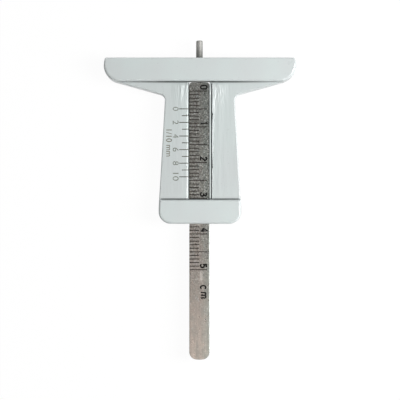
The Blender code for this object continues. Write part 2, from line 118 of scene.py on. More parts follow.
# Drop, height and width of the rim right of the slot, all in millimetres
RIM_PLACES = ((6.95, -0.01, 1.6), (7.5, 0.09, 2.0), (8.5, 0.14, 2.2), (14, 0.13, 2.0), (17, 0.1, 1.1),
              (22, 0.08, 0.8), (27, 0.05, 0.7), (33, 0.03, 0.7), (40, 0.03, 0.7))
# Height of the web's slight waves, from 0 to 1, by the x in millimetres
WEB_WAVES = ((-10.5, 0.5), (-9.2, 0.42), (-7.6, 0.56), (-6.2, 0.5), (-5.3, 0.56), (-4.6, 0.36), (-3.9, 0.5),
             (3.6, 0.5), (4.5, 0.42), (5.4, 0.62), (6.3, 0.42), (7.5, 0.5), (10.5, 0.5))
WEB_WAVE_LIMIT = 12.0 * MM

# Blade
BLADE_WIDTH = 5.65 * MM
BLADE_LENGTH = 77.65 * MM
BLADE_TOP_Y = 33.0 * MM
BLADE_FRONT = 5.7 * MM
BLADE_BACK = 3.7 * MM
BLADE_TOP_RADIUS = 0.85 * MM
BLADE_END_RADIUS = 2.1 * MM
BLADE_END_BOW = 0.2 * MM
BLADE_EDGE_RADIUS = 0.09 * MM
ZERO_MARK_INSET = 2.45 * MM

# Scratches of one direction each: their turn from the blade's length, and the share of places without one
SCRATCHES = ((0.4, 0.955), (-0.6, 0.97), (0.08, 0.965))
# Pale rubs on the blade: x, drop, half width, half length, all in millimetres, and strength
BLADE_RUBS = ((0.38, 60.9, 0.56, 2.0, 0.46), (-0.1, 61.85, 1.9, 0.32, 0.16))

# Measuring pin
PIN_DIAMETER = 1.85 * MM
PIN_REACH = 11.75 * MM
PIN_TIP_ROUNDING = 0.35 * MM
PIN_SEGMENTS = 64
SPIGOT_DIAMETER = 1.0 * MM
SPIGOT_LENGTH = 4.0 * MM
SPIGOT_CLEARANCE = 0.15 * MM
SEAT_GAP = 0.1 * MM

# Leaf spring
SPRING_SPAN = 15.4 * MM
SPRING_THICKNESS = 0.12 * MM
SPRING_HEIGHT = 1.5 * MM
SPRING_GAP = 0.04 * MM
SPRING_EDGE = 0.03 * MM
SPRING_STEPS = 48
POCKET_DEPTH = 0.22 * MM
POCKET_STEPS = 24

# Engraving and printing
SCALE_MARK_WIDTH = 0.26 * MM
SCALE_MARK_DEPTH = 0.08 * MM
SHORT_MARK = 2.75 * MM
LONG_MARK = 4.98 * MM
VERNIER_MARK_WIDTH = 0.25 * MM
VERNIER_MARK_DEPTH = 0.08 * MM
SHORT_VERNIER_MARK = 1.85 * MM
LONG_VERNIER_MARK = 2.6 * MM
VERNIER_MARK_END = radians(10)
NUMERAL_DEPTH = 0.05 * MM
NUMERAL_BASELINE = -7.6 * MM
NUMERAL_CAP = 1.62 * MM
DIGIT_WIDTH = 1.1 * MM
UNIT_DROP = 23.75 * MM
UNIT_BASELINE = -9.45 * MM
UNIT_CAP = 1.6 * MM
UNIT_LENGTH = 7.5 * MM
FIGURE_BASE = 0.1 * MM
FIGURE_STROKE = 0.47 * MM
LETTER_STROKE = 0.42 * MM
# Each figure with its middle on the scale, its width and its height between stroke centres, in millimetres
FIGURES = (("0", -1.08, 0.95, 1.78), ("1", 8.92, 0.62, 1.85), ("2", 18.92, 0.95, 1.7),
           ("3", 28.92, 0.95, 1.65), ("4", 38.92, 0.98, 2.1), ("5", 48.92, 0.92, 1.58),
           ("c", 54.93, 0.96, 1.45), ("m", 57.15, 1.5, 1.45))
FIGURE_SINK = 0.02 * MM
FIGURE_PROUD = 0.008 * MM
STROKE_STAGGER = 0.002 * MM

# Where the frame's finish and its painted shade change: distances from its middle, drops, and the widths of
# fades
CREASE_SHADE_FULL_WITHIN = 9.0 * MM
CREASE_SHADE_THIN_BEYOND = 20.0 * MM
FLOW_FULL_WITHIN = 5.5 * MM
FLOW_NONE_BEYOND = 8.0 * MM
FLOW_STRONG_DROP = 9.0 * MM
FLOW_FAINT_DROP = 15.0 * MM
WAVES_FADE_AT_BAR = 1.0 * MM
WAVES_FADE_AT_FOOT = 1.5 * MM
RAISED_FADE = 0.2 * MM

# Where the blade's and the pin's finish and painted shade change: places across, distances from the left
# edge, drops, and heights over the measuring face
WARM_UP_TO = 0.2 * MM
COOL_FROM = 2.4 * MM
LEFT_SHADE_FULL = 0.1 * MM
LEFT_SHADE_REACH = 0.45 * MM
COOL_ABOVE_DROP = 38.0 * MM
WARM_BELOW_DROP = 48.0 * MM
SPECKLED_ABOVE_DROP = 40.0 * MM
CLEAN_BELOW_DROP = 70.0 * MM
SCRATCHED_ABOVE_DROP = 73.0 * MM
WIPED_BELOW_DROP = 78.0 * MM
BAR_SHADE_FULL = 1.2 * MM
BAR_SHADE_REACH = 3.4 * MM

# How finely round shapes are drawn, which edges count as sharp, how far a stroke's corner may reach out,
# and how far cutters run past what they cut
ARC_STEP = radians(4)
EDGE_SEGMENTS = 8
LIP_SWEEP = radians(80)
SHARP_ANGLE = radians(35)
FLAT_FACE_WEIGHT = 100
FILLET_ANGLE = radians(40)
FILLET_SEGMENTS = 3
SPRING_EDGE_ANGLE = radians(60)
SPRING_EDGE_SEGMENTS = 2
LEAST_MITRE = 0.6
OVERRUN = 1.0 * MM
MERGE = 0.0005 * MM

# Places that follow from the sizes
BLADE_MIDDLE = (BLADE_FRONT + BLADE_BACK) / 2
STEP_LEAN = (FRAME_DEPTH - WEB_FRONT) * tan(STEP_DRAFT)
BAR_WALL_DROP = BAR_HEIGHT + STEP_LEAN
FOOT_WALL_DROP = FOOT_DROP - STEP_LEAN
CHANNEL_TOP_DROP = BAR_WALL_DROP + CREASE_WIDTH / 2
CHANNEL_END_DROP = FOOT_WALL_DROP - CREASE_WIDTH / 2
CHANNEL_MIDDLE_DROP = (BAR_WALL_DROP + FOOT_WALL_DROP) / 2
SPRING_CROWN = SLOT_LEFT + SPRING_GAP + SPRING_THICKNESS / 2
SPRING_END = SLOT_RIGHT + POCKET_DEPTH - SPRING_GAP - SPRING_THICKNESS / 2
ZERO_MARK_Y = BLADE_TOP_Y - ZERO_MARK_INSET
VERNIER_ZERO_DROP = PIN_REACH + ZERO_MARK_INSET
WIDTH_LIMIT = END_HALF_WIDTH + OVERRUN


def level(drop):
    """The y of a place that lies a drop below the measuring face."""
    return FACE_Y - drop


# Shapes

def arc(centre, radius, start, end):
    """Points along an arc, its angles measured from +x towards +y."""
    segments = max(2, ceil(abs(end - start) / ARC_STEP))
    points = []
    for i in range(segments + 1):
        angle = start + (end - start) * i / segments
        points.append(Vector((centre[0] + radius * cos(angle), centre[1] + radius * sin(angle))))
    return points


def rounded(corners):
    """A closed outline from corners, each an x, a y and the radius of its rounding."""
    points = []
    for i, (x, y, radius) in enumerate(corners):
        corner = Vector((x, y))
        back = (Vector(corners[i - 1][:2]) - corner).normalized()
        ahead = (Vector(corners[(i + 1) % len(corners)][:2]) - corner).normalized()
        if radius == 0:
            points.append(corner)
            continue
        half = back.angle(ahead) / 2
        centre = corner + (back + ahead).normalized() * radius / sin(half)
        first = corner + back * radius / tan(half) - centre
        last = corner + ahead * radius / tan(half) - centre
        start = atan2(first.y, first.x)
        turn = atan2(first.cross(last), first.dot(last))
        points += arc(centre, radius, start, start + turn)
    return points


def way_in(before, point, after):
    """The way inwards at a point of an anticlockwise outline, as long as moves its two sides in by one."""
    arriving = (point - before).normalized()
    leaving = (after - point).normalized()
    normal_in = Vector((-arriving.y, arriving.x))
    normal_out = Vector((-leaving.y, leaving.x))
    return (normal_in + normal_out) / (1 + normal_in.dot(normal_out))


def inset(corners, distance):
    """The same outline, which runs anticlockwise, with every side moved in by a distance."""
    moved = []
    for i, (x, y, radius) in enumerate(corners):
        corner = Vector((x, y))
        before = Vector(corners[i - 1][:2])
        after = Vector(corners[(i + 1) % len(corners)][:2])
        convex = (corner - before).cross(after - corner) > 0
        corner += way_in(before, corner, after) * distance
        moved.append((corner.x, corner.y, max(radius - distance, 0) if convex else radius + distance))
    return moved


def place_mesh(name, mesh):
    """An object for a mesh or a curve, in the scene."""
    obj = bpy.data.objects.new(name, mesh)
    bpy.context.scene.collection.objects.link(obj)
    return obj


def place_shape(name, work):
    """An object for a shape that a bmesh holds, which is then freed."""
    mesh = bpy.data.meshes.new(name)
    work.to_mesh(mesh)
    work.free()
    return place_mesh(name, mesh)


def settle(obj):
    """Makes an object's modifiers part of its mesh."""
    bpy.context.view_layer.update()
    seen = obj.evaluated_get(bpy.context.evaluated_depsgraph_get())
    mesh = bpy.data.meshes.new_from_object(seen)
    mesh.transform(obj.matrix_world)
    obj.modifiers.clear()
    obj.matrix_world = Matrix.Identity(4)
    obj.data = mesh


# Turns that lay a section in the plane across X or across Y, so that its prism runs along that axis
RUN_ALONG_X = Matrix(((0, 0, 1, 0), (1, 0, 0, 0), (0, 1, 0, 0), (0, 0, 0, 1)))
RUN_ALONG_Y = Matrix(((1, 0, 0, 0), (0, 0, -1, 0), (0, 1, 0, 0), (0, 0, 0, 1)))


def prism(name, outline, low, high, turn=Matrix.Identity(4)):
    """A filled outline with its thickness from low to high, turned from the XY plane to its own."""
    work = bmesh.new()
    bottom = [work.verts.new((x, y, low)) for x, y in outline]
    bmesh.ops.remove_doubles(work, verts=bottom, dist=MERGE)
    face = work.faces.new(work.verts)
    top = bmesh.ops.extrude_face_region(work, geom=[face])["geom"]
    bmesh.ops.translate(work, verts=[v for v in top if isinstance(v, bmesh.types.BMVert)],
                        vec=(0, 0, high - low))
    bmesh.ops.recalc_face_normals(work, faces=work.faces)
    bmesh.ops.transform(work, matrix=turn, verts=work.verts)
    return place_shape(name, work)


def boxes(name, corners):
    """One object of separate boxes, each given by its lowest and its highest corner."""
    work = bmesh.new()
    for low, high in corners:
        low = Vector(low)
        size = Vector(high) - low
        matrix = Matrix.Translation(low + size / 2) @ Matrix.Diagonal(size).to_4x4()
        bmesh.ops.create_cube(work, size=1, matrix=matrix)
    return place_shape(name, work)


def combine(obj, other, operation):
    """Joins another shape to an object or takes it out, with the other's material, and drops the other."""
    boolean = obj.modifiers.new(other.name, "BOOLEAN")
    boolean.operation = operation
    boolean.solver = "EXACT"
    boolean.material_mode = "TRANSFER"
    boolean.object = other
    settle(obj)
    bpy.data.objects.remove(other, do_unlink=True)


def cut(obj, cutter):
    """Takes a cutter's shape out of an object."""
    combine(obj, cutter, "DIFFERENCE")


def weld(obj):
    """Merges points that lie at one place, closes hairline gaps and drops faces and edges without size."""
    work = bmesh.new()
    work.from_mesh(obj.data)
    bmesh.ops.remove_doubles(work, verts=work.verts, dist=MERGE)
    bmesh.ops.holes_fill(work, edges=[edge for edge in work.edges if edge.is_boundary])
    bmesh.ops.dissolve_degenerate(work, edges=work.edges, dist=MERGE)
    work.to_mesh(obj.data)
    work.free()


def on_slide(obj):
    """Moves a shape that is drawn about x = 0 to the slide, and returns it."""
    obj.data.transform(Matrix.Translation((SLIDE_X, 0, 0)))
    return obj


def skin(work, rings):
    """Faces between closed rings of points, from each ring to the next."""
    for one, two in zip(rings, rings[1:]):
        for i in range(len(one)):
            work.faces.new((one[i - 1], one[i], two[i], two[i - 1]))


def chain(work, line, height):
    """Points along a line at one height, and the edges between them."""
    verts = [work.verts.new((x, y, height)) for x, y in line]
    edges = [work.edges.new(pair) for pair in zip(verts, verts[1:])]
    return verts, edges


def round_edges(obj, width, angle, segments):
    """Rounds the edges of an object that are sharper than an angle."""
    bevel = obj.modifiers.new("rounded_edges", "BEVEL")
    bevel.limit_method = "ANGLE"
    bevel.angle_limit = angle
    bevel.width = width
    bevel.segments = segments
    settle(obj)


def rounded_plate(name, outline, back, front, back_radius, front_radius_at):
    """A plate with rounded edges; a front edge has the radius that belongs to its place."""
    outline = [point for i, point in enumerate(outline) if (point - outline[i - 1]).length > MERGE]
    ways = []
    for i, point in enumerate(outline):
        ways.append(way_in(outline[i - 1], point, outline[(i + 1) % len(outline)]))
    work = bmesh.new()
    rings = []
    for i in range(EDGE_SEGMENTS + 1):
        angle = pi / 2 * (1 - i / EDGE_SEGMENTS)
        z = back + back_radius * (1 - sin(angle))
        places = [point + way * back_radius * (1 - cos(angle)) for point, way in zip(outline, ways)]
        rings.append([work.verts.new((place.x, place.y, z)) for place in places])
    for i in range(EDGE_SEGMENTS + 1):
        angle = pi / 2 * i / EDGE_SEGMENTS
        ring = []
        for point, way in zip(outline, ways):
            radius = front_radius_at(FACE_Y - point.y)
            place = point + way * radius * (1 - cos(angle))
            ring.append(work.verts.new((place.x, place.y, front - radius * (1 - sin(angle)))))
        rings.append(ring)
    skin(work, rings)
    bmesh.ops.triangulate(work, faces=work.faces)
    work.faces.new(rings[0][::-1])
    work.faces.new(rings[-1])
    return place_shape(name, work)


def round_web_edges(body):
    """Rounds the outer edges of the web, which the recess leaves sharp."""
    work = bmesh.new()
    work.from_mesh(body.data)
    weight = work.edges.layers.float.new("bevel_weight_edge")
    for edge in work.edges:
        flat = all(abs(vert.co.z - WEB_FRONT) < MERGE for vert in edge.verts)
        crosses = abs(edge.verts[0].co.y - edge.verts[1].co.y) < MERGE
        edge[weight] = 1 if flat and edge.is_convex and not crosses else 0
    work.to_mesh(body.data)
    work.free()
    bevel = body.modifiers.new("rounded_web", "BEVEL")
    bevel.limit_method = "WEIGHT"
    bevel.width = WEB_EDGE_RADIUS
    bevel.segments = EDGE_SEGMENTS
    bevel.use_clamp_overlap = False
    settle(body)
    weld(body)


def smooth_over(obj):
    """Smooth shading that keeps flat faces flat and sharp edges sharp."""
    weld(obj)
    obj.data.shade_smooth()
    obj.data.set_sharp_from_angle(angle=SHARP_ANGLE)
    weighted = obj.modifiers.new("flat_faces_stay_flat", "WEIGHTED_NORMAL")
    weighted.keep_sharp = True
    weighted.weight = FLAT_FACE_WEIGHT
    settle(obj)


# Materials

def to_linear(colour):
    """An sRGB hex colour as linear red, green, blue and alpha."""
    parts = [int(colour[i:i + 2], 16) / 255 for i in (1, 3, 5)]
    return [part / 12.92 if part <= 0.04045 else ((part + 0.055) / 1.055) ** 2.4 for part in parts] + [1]


def per_metre(x, y, z):
    """The mapping scale at which a pattern of size one has these sizes in millimetres."""
    return [1 / (size * MM) for size in (x, y, z)]


def add(tree, kind, inputs=None, **settings):
    """Adds a node with its settings; an input takes a value, a socket, or a node's first output."""
    node = tree.nodes.new(kind)
    for key, value in settings.items():
        setattr(node, key, value)
    for key, value in (inputs or {}).items():
        named = [socket for socket in node.inputs if socket.enabled and socket.name == key]
        socket = named[0] if named else node.inputs[key]
        if isinstance(value, bpy.types.Node):
            value = [output for output in value.outputs if output.enabled][0]
        if isinstance(value, bpy.types.NodeSocket):
            tree.links.new(value, socket)
        else:
            socket.default_value = value
    return node


def bare_material(name):
    """A material without nodes, its tree, and the object's own coordinates."""
    material = bpy.data.materials.new(name)
    material.use_nodes = True
    tree = material.node_tree
    tree.nodes.clear()
    return material, tree, add(tree, "ShaderNodeTexCoord").outputs["Object"]


def crease_dust(tree, parts, beside):
    """How much painted shade lies at a place: a dark line painted in the crease along the foot of each step,
    where shade falls, with a faint painted fringe beside it, thinning out towards the sides."""
    near = None
    for drop, reach in ((BAR_WALL_DROP + CREASE_WIDTH / 4, FACE_HALF_WIDTH),
                        (FOOT_WALL_DROP - CREASE_WIDTH / 2, FOOT_HALF_WIDTH - FRONT_RADIUS)):
        away = add(tree, "ShaderNodeMath", {0: parts.outputs["Y"], 1: level(drop)}, operation="SUBTRACT")
        away = add(tree, "ShaderNodeMath", {0: away}, operation="ABSOLUTE")
        beyond = add(tree, "ShaderNodeMath", {0: beside, 1: reach}, operation="SUBTRACT")
        away = add(tree, "ShaderNodeMath", {0: away, 1: beyond}, operation="MAXIMUM")
        near = add(tree, "ShaderNodeMath", {0: near, 1: away}, operation="MINIMUM") if near else away
    painted_shade = add(tree, "ShaderNodeMapRange", {"Value": near, "From Min": CREASE_WIDTH * 0.45,
                                            "From Max": CREASE_WIDTH * 1.1, "To Min": 0.92, "To Max": 0})
    shade_fringe = add(tree, "ShaderNodeMapRange", {"Value": near, "From Min": CREASE_WIDTH,
                                            "From Max": CREASE_WIDTH * 4, "To Min": 0.13, "To Max": 0})
    painted_shade = add(tree, "ShaderNodeMath", {0: painted_shade, 1: shade_fringe}, operation="MAXIMUM")
    in_front = add(tree, "ShaderNodeMapRange", {"Value": parts.outputs["Z"],
                                                "From Min": WEB_FRONT - 2 * CREASE_DEPTH,
                                                "From Max": WEB_FRONT - CREASE_DEPTH})
    painted_shade = add(tree, "ShaderNodeMath", {0: painted_shade, 1: in_front}, operation="MULTIPLY")
    thinner = add(tree, "ShaderNodeMapRange", {"Value": beside, "From Min": CREASE_SHADE_FULL_WITHIN,
                                               "From Max": CREASE_SHADE_THIN_BEYOND, "To Min": 1, "To Max": 0.3})
    return add(tree, "ShaderNodeMath", {0: painted_shade, 1: thinner}, operation="MULTIPLY")


def web_relief(tree, place, parts, beside, grain):
    """The web's long hollows and crests beside the channel, and short flow marks where the plastic ran
    round it, strongest near the bar, both over the grain."""
    across = add(tree, "ShaderNodeMapRange", {"Value": parts.outputs["X"],
                                              "From Min": -WEB_WAVE_LIMIT, "From Max": WEB_WAVE_LIMIT})
    waves = add(tree, "ShaderNodeValToRGB", {"Fac": across})
    waves.color_ramp.interpolation = "B_SPLINE"
    stops = waves.color_ramp.elements
    for i, (x, height) in enumerate(WEB_WAVES):
        stop = stops[i] if i < 2 else stops.new(1)
        stop.position = (x * MM / WEB_WAVE_LIMIT + 1) / 2
        stop.color = (height, height, height, 1)
    wander = add(tree, "ShaderNodeMapping", {"Vector": place, "Scale": per_metre(1.6, 11, 3)})
    wander = add(tree, "ShaderNodeTexNoise", {"Vector": wander, "Scale": 1, "Detail": 2})
    swell = add(tree, "ShaderNodeMath", {0: waves, 1: wander}, operation="MULTIPLY")
    above_foot = add(tree, "ShaderNodeMapRange", {"Value": parts.outputs["Y"],
                                                  "From Min": level(FOOT_WALL_DROP),
                                                  "From Max": level(FOOT_WALL_DROP - WAVES_FADE_AT_FOOT)})
    below_bar = add(tree, "ShaderNodeMapRange", {"Value": parts.outputs["Y"],
                                                 "From Min": level(BAR_WALL_DROP),
                                                 "From Max": level(BAR_WALL_DROP + WAVES_FADE_AT_BAR)})
    in_web = add(tree, "ShaderNodeMath", {0: above_foot, 1: below_bar}, operation="MULTIPLY")
    swell = add(tree, "ShaderNodeMath", {0: swell, 1: in_web}, operation="MULTIPLY")
    flow = add(tree, "ShaderNodeMapping", {"Vector": place, "Scale": per_metre(0.8, 4.5, 3)})
    flow = add(tree, "ShaderNodeTexNoise", {"Vector": flow, "Scale": 1, "Detail": 2, "Roughness": 0.6})
    near_bar = add(tree, "ShaderNodeMapRange", {"Value": parts.outputs["Y"],
                                                "From Min": level(FLOW_FAINT_DROP),
                                                "From Max": level(FLOW_STRONG_DROP), "To Min": 0.15,
                                                "To Max": 1})
    by_channel = add(tree, "ShaderNodeMapRange", {"Value": beside, "From Min": FLOW_NONE_BEYOND,
                                                  "From Max": FLOW_FULL_WITHIN})
    marks = add(tree, "ShaderNodeMath", {0: flow, 1: near_bar}, operation="MULTIPLY")
    marks = add(tree, "ShaderNodeMath", {0: marks, 1: by_channel}, operation="MULTIPLY")
    marks = add(tree, "ShaderNodeMath", {0: marks, 1: in_web}, operation="MULTIPLY")
    relief = add(tree, "ShaderNodeBump", {"Height": marks, "Distance": 0.4 * MM, "Normal": grain})
    return add(tree, "ShaderNodeBump", {"Height": swell, "Distance": 0.16 * MM, "Normal": relief})


def moulded_abs():
    """ABS moulded in a finely blasted tool: pale, cool and satin, with faint flow marks, a web that has
    sunk a little in long hollows beside the channel, a few specks, and painted shade along the steps."""
    material, tree, place = bare_material("moulded_abs")
    parts = add(tree, "ShaderNodeSeparateXYZ", {"Vector": place})
    beside = add(tree, "ShaderNodeMath", {0: parts.outputs["X"]}, operation="ABSOLUTE")
    broad = add(tree, "ShaderNodeMapping", {"Vector": place, "Scale": per_metre(9, 16, 9)})
    clouds = add(tree, "ShaderNodeTexNoise", {"Vector": broad, "Scale": 1, "Detail": 3})
    tone = add(tree, "ShaderNodeMapRange", {"Value": clouds, "From Min": 0.36, "From Max": 0.64})
    colour = add(tree, "ShaderNodeMix", {"Factor": tone, "A": to_linear("#C5CBCB"),
                                         "B": to_linear("#C6CFCE")}, data_type="RGBA")
    specks = add(tree, "ShaderNodeTexNoise", {"Vector": place, "Scale": 1 / (0.5 * MM), "Detail": 1})
    specks = add(tree, "ShaderNodeMapRange", {"Value": specks, "From Min": 0.7, "From Max": 0.78,
                                              "To Max": 0.3})
    colour = add(tree, "ShaderNodeMix", {"Factor": specks, "A": colour, "B": to_linear("#9FA5A5")},
                 data_type="RGBA")
    painted_shade = crease_dust(tree, parts, beside)
    # Painted shade: the crease at the foot of each step is darkened and stands in for the shade that falls
    # there.
    colour = add(tree, "ShaderNodeMix", {"Factor": painted_shade, "A": colour, "B": to_linear("#3E4342")},
                 data_type="RGBA")
    # Painted light: the raised faces of bar and foot are drawn a little paler than the web, for the brighter
    # light they get.
    raised = add(tree, "ShaderNodeMapRange", {"Value": parts.outputs["Z"],
                                              "From Min": (WEB_FRONT + FRAME_DEPTH) / 2,
                                              "From Max": FRAME_DEPTH - RAISED_FADE, "To Min": 1,
                                              "To Max": 1.055})
    colour = add(tree, "ShaderNodeHueSaturation", {"Value": raised, "Color": colour})
    gloss = add(tree, "ShaderNodeMapRange", {"Value": clouds, "From Min": 0.3, "From Max": 0.7,
                                             "To Min": 0.27, "To Max": 0.33})
    # The tool's blasted grain of some 0.05 mm is drawn three times as coarse, so that it shows close up.
    grain = add(tree, "ShaderNodeTexNoise", {"Vector": place, "Scale": 1 / (0.16 * MM), "Detail": 2})
    grain = add(tree, "ShaderNodeBump", {"Height": grain, "Strength": 0.5, "Distance": 0.003 * MM})
    relief = web_relief(tree, place, parts, beside, grain)
    shader = add(tree, "ShaderNodeBsdfPrincipled", {"Base Color": colour, "Roughness": gloss, "IOR": 1.53,
                                                    "Normal": relief})
    add(tree, "ShaderNodeOutputMaterial", {"Surface": shader})
    return material


def vernier_paint(name, dark, pale):
    """Grey-green paint wiped into the engraved vernier: matt, thin and a little uneven; it fills the lines
    darker than the fine figures."""
    material, tree, place = bare_material(name)
    wear = add(tree, "ShaderNodeTexNoise", {"Vector": place, "Scale": 1 / (0.35 * MM), "Detail": 2})
    thin = add(tree, "ShaderNodeMapRange", {"Value": wear, "From Min": 0.35, "From Max": 0.7})
    colour = add(tree, "ShaderNodeMix", {"Factor": thin, "A": to_linear(dark), "B": to_linear(pale)},
                 data_type="RGBA")
    relief = add(tree, "ShaderNodeBump", {"Height": wear, "Distance": 0.01 * MM})
    shader = add(tree, "ShaderNodeBsdfPrincipled", {"Base Color": colour, "Roughness": 0.6,
                                                    "Normal": relief})
    add(tree, "ShaderNodeOutputMaterial", {"Surface": shader})
    return material


def rubs_and_speckles(tree, place, parts, colour):
    """The strip's colour with its pale rubs and fine speckles, most where the blade rubs in the channel."""
    for x, drop, half_width, half_length, strength in BLADE_RUBS:
        middle = (x * MM, level(drop * MM), BLADE_FRONT)
        reach = (half_width * MM, half_length * MM, BLADE_FRONT)
        rub = add(tree, "ShaderNodeMapping", {"Vector": place, "Location": middle, "Scale": reach},
                  vector_type="TEXTURE")
        rub = add(tree, "ShaderNodeTexGradient", {"Vector": rub}, gradient_type="SPHERICAL")
        rub = add(tree, "ShaderNodeMapRange", {"Value": rub, "From Max": 0.5, "To Max": strength})
        colour = add(tree, "ShaderNodeMix", {"Factor": rub, "A": colour, "B": to_linear("#F0F1EE")},
                     data_type="RGBA")
    rubbed = add(tree, "ShaderNodeMapRange", {"Value": parts.outputs["Y"],
                                              "From Min": level(CLEAN_BELOW_DROP),
                                              "From Max": level(SPECKLED_ABOVE_DROP), "To Min": 0.15,
                                              "To Max": 1})
    speckle = add(tree, "ShaderNodeTexNoise", {"Vector": place, "Scale": 1 / (0.4 * MM), "Detail": 2,
                                               "Roughness": 0.7})
    for start, stop, most, shade in ((0.55, 0.69, 1, "#F2F5F1"), (0.47, 0.33, 0.8, "#5E625D")):
        share = add(tree, "ShaderNodeMapRange", {"Value": speckle, "From Min": start, "From Max": stop,
                                                 "To Max": most})
        share = add(tree, "ShaderNodeMath", {0: share, 1: rubbed}, operation="MULTIPLY")
        colour = add(tree, "ShaderNodeMix", {"Factor": share, "A": colour, "B": to_linear(shade)},
                     data_type="RGBA")
    return colour


def short_scratches(tree, place):
    """Where short scratches run, in a few directions. They are some 0.03 mm wide in steel, and are drawn
    three times as wide, so that they show."""
    scratches = None
    for angle, keep in SCRATCHES:
        turned = add(tree, "ShaderNodeMapping", {"Vector": place, "Rotation": (0, 0, angle)})
        turned = add(tree, "ShaderNodeMapping", {"Vector": turned, "Scale": per_metre(0.2, 0.9, 5)})
        cells = add(tree, "ShaderNodeTexVoronoi", {"Vector": turned, "Scale": 1})
        pick = add(tree, "ShaderNodeSeparateColor", {"Color": cells.outputs["Color"]})
        pick = add(tree, "ShaderNodeMapRange", {"Value": pick, "From Min": keep, "From Max": keep + 0.01})
        core = add(tree, "ShaderNodeMapRange", {"Value": cells.outputs["Distance"], "From Min": 0.48,
                                                "From Max": 0.2})
        line = add(tree, "ShaderNodeMath", {0: pick, 1: core}, operation="MULTIPLY")
        if scratches:
            line = add(tree, "ShaderNodeMath", {0: scratches, 1: line}, operation="MAXIMUM")
        scratches = line
    return scratches


def rolled_strip():
    """Rolled stainless strip, used and wiped: warm grey on the scale's side, cooler beside it and in the
    channel, with fine lines along it, dull clouds, painted shade along its left edge, pale rubs, pits and
    short bright scratches."""
    material, tree, place = bare_material("rolled_strip")
    parts = add(tree, "ShaderNodeSeparateXYZ", {"Vector": place})
    along = add(tree, "ShaderNodeMapping", {"Vector": place, "Scale": per_metre(0.12, 9, 2)})
    lines = add(tree, "ShaderNodeTexNoise", {"Vector": along, "Scale": 1, "Detail": 3, "Roughness": 0.6})
    cloudy = add(tree, "ShaderNodeMapping", {"Vector": place, "Scale": per_metre(1.3, 3.2, 2)})
    clouds = add(tree, "ShaderNodeTexNoise", {"Vector": cloudy, "Scale": 1, "Detail": 4, "Roughness": 0.65})
    cool = add(tree, "ShaderNodeMapRange", {"Value": parts.outputs["X"], "From Min": WARM_UP_TO,
                                            "From Max": COOL_FROM})
    uneven = add(tree, "ShaderNodeMapRange", {"Value": clouds, "From Min": 0.3, "From Max": 0.7,
                                              "To Min": -0.3, "To Max": 0.3})
    cool = add(tree, "ShaderNodeMath", {0: cool, 1: uneven}, operation="ADD")
    in_channel = add(tree, "ShaderNodeMapRange", {"Value": parts.outputs["Y"],
                                                  "From Min": level(WARM_BELOW_DROP),
                                                  "From Max": level(COOL_ABOVE_DROP), "To Max": 0.45})
    cool = add(tree, "ShaderNodeMath", {0: cool, 1: in_channel}, operation="ADD", use_clamp=True)
    colour = add(tree, "ShaderNodeMix", {"Factor": cool, "A": to_linear("#B4AEA8"),
                                         "B": to_linear("#A9B1AC")}, data_type="RGBA")
    streaks = add(tree, "ShaderNodeMapRange", {"Value": lines, "From Min": 0.42, "From Max": 0.68,
                                               "To Max": 0.55})
    colour = add(tree, "ShaderNodeMix", {"Factor": streaks, "A": colour, "B": to_linear("#8E8E8A")},
                 data_type="RGBA")
    stains = add(tree, "ShaderNodeMapRange", {"Value": clouds, "From Min": 0.46, "From Max": 0.62,
                                              "To Max": 0.4})
    colour = add(tree, "ShaderNodeMix", {"Factor": stains, "A": colour, "B": to_linear("#8B8B86")},
                 data_type="RGBA")
    # Painted shade: the left edge, which faces away from the lamp, is darkened.
    left_edge = SLIDE_X - BLADE_WIDTH / 2
    left_edge_shade = add(tree, "ShaderNodeMapRange", {"Value": parts.outputs["X"],
                                              "From Min": left_edge + LEFT_SHADE_REACH,
                                              "From Max": left_edge + LEFT_SHADE_FULL, "To Max": 0.45})
    colour = add(tree, "ShaderNodeMix", {"Factor": left_edge_shade, "A": colour, "B": to_linear("#6A6863")},
                 data_type="RGBA")
    colour = rubs_and_speckles(tree, place, parts, colour)
    scratches = short_scratches(tree, place)
    handled = add(tree, "ShaderNodeMapRange", {"Value": parts.outputs["Y"],
                                               "From Min": level(WIPED_BELOW_DROP),
                                               "From Max": level(SCRATCHED_ABOVE_DROP), "To Min": 0.1,
                                               "To Max": 0.75})
    shine = add(tree, "ShaderNodeMath", {0: scratches, 1: handled}, operation="MULTIPLY")
    colour = add(tree, "ShaderNodeMix", {"Factor": shine, "A": colour, "B": to_linear("#CDD6DC")},
                 data_type="RGBA")
    gloss = add(tree, "ShaderNodeMapRange", {"Value": clouds, "From Min": 0.3, "From Max": 0.7,
                                             "To Min": 0.26, "To Max": 0.34})
    pits = add(tree, "ShaderNodeTexNoise", {"Vector": place, "Scale": 1 / (0.25 * MM), "Detail": 2})
    relief = add(tree, "ShaderNodeBump", {"Height": lines, "Distance": 0.003 * MM})
    relief = add(tree, "ShaderNodeBump", {"Height": pits, "Distance": 0.005 * MM, "Normal": relief})
    relief = add(tree, "ShaderNodeBump", {"Height": scratches, "Distance": 0.002 * MM, "Normal": relief},
                 invert=True)
    shader = add(tree, "ShaderNodeBsdfPrincipled", {"Base Color": colour, "Metallic": 1, "Roughness": gloss,
                                                    "Normal": relief})
    add(tree, "ShaderNodeOutputMaterial", {"Surface": shader})
    return material


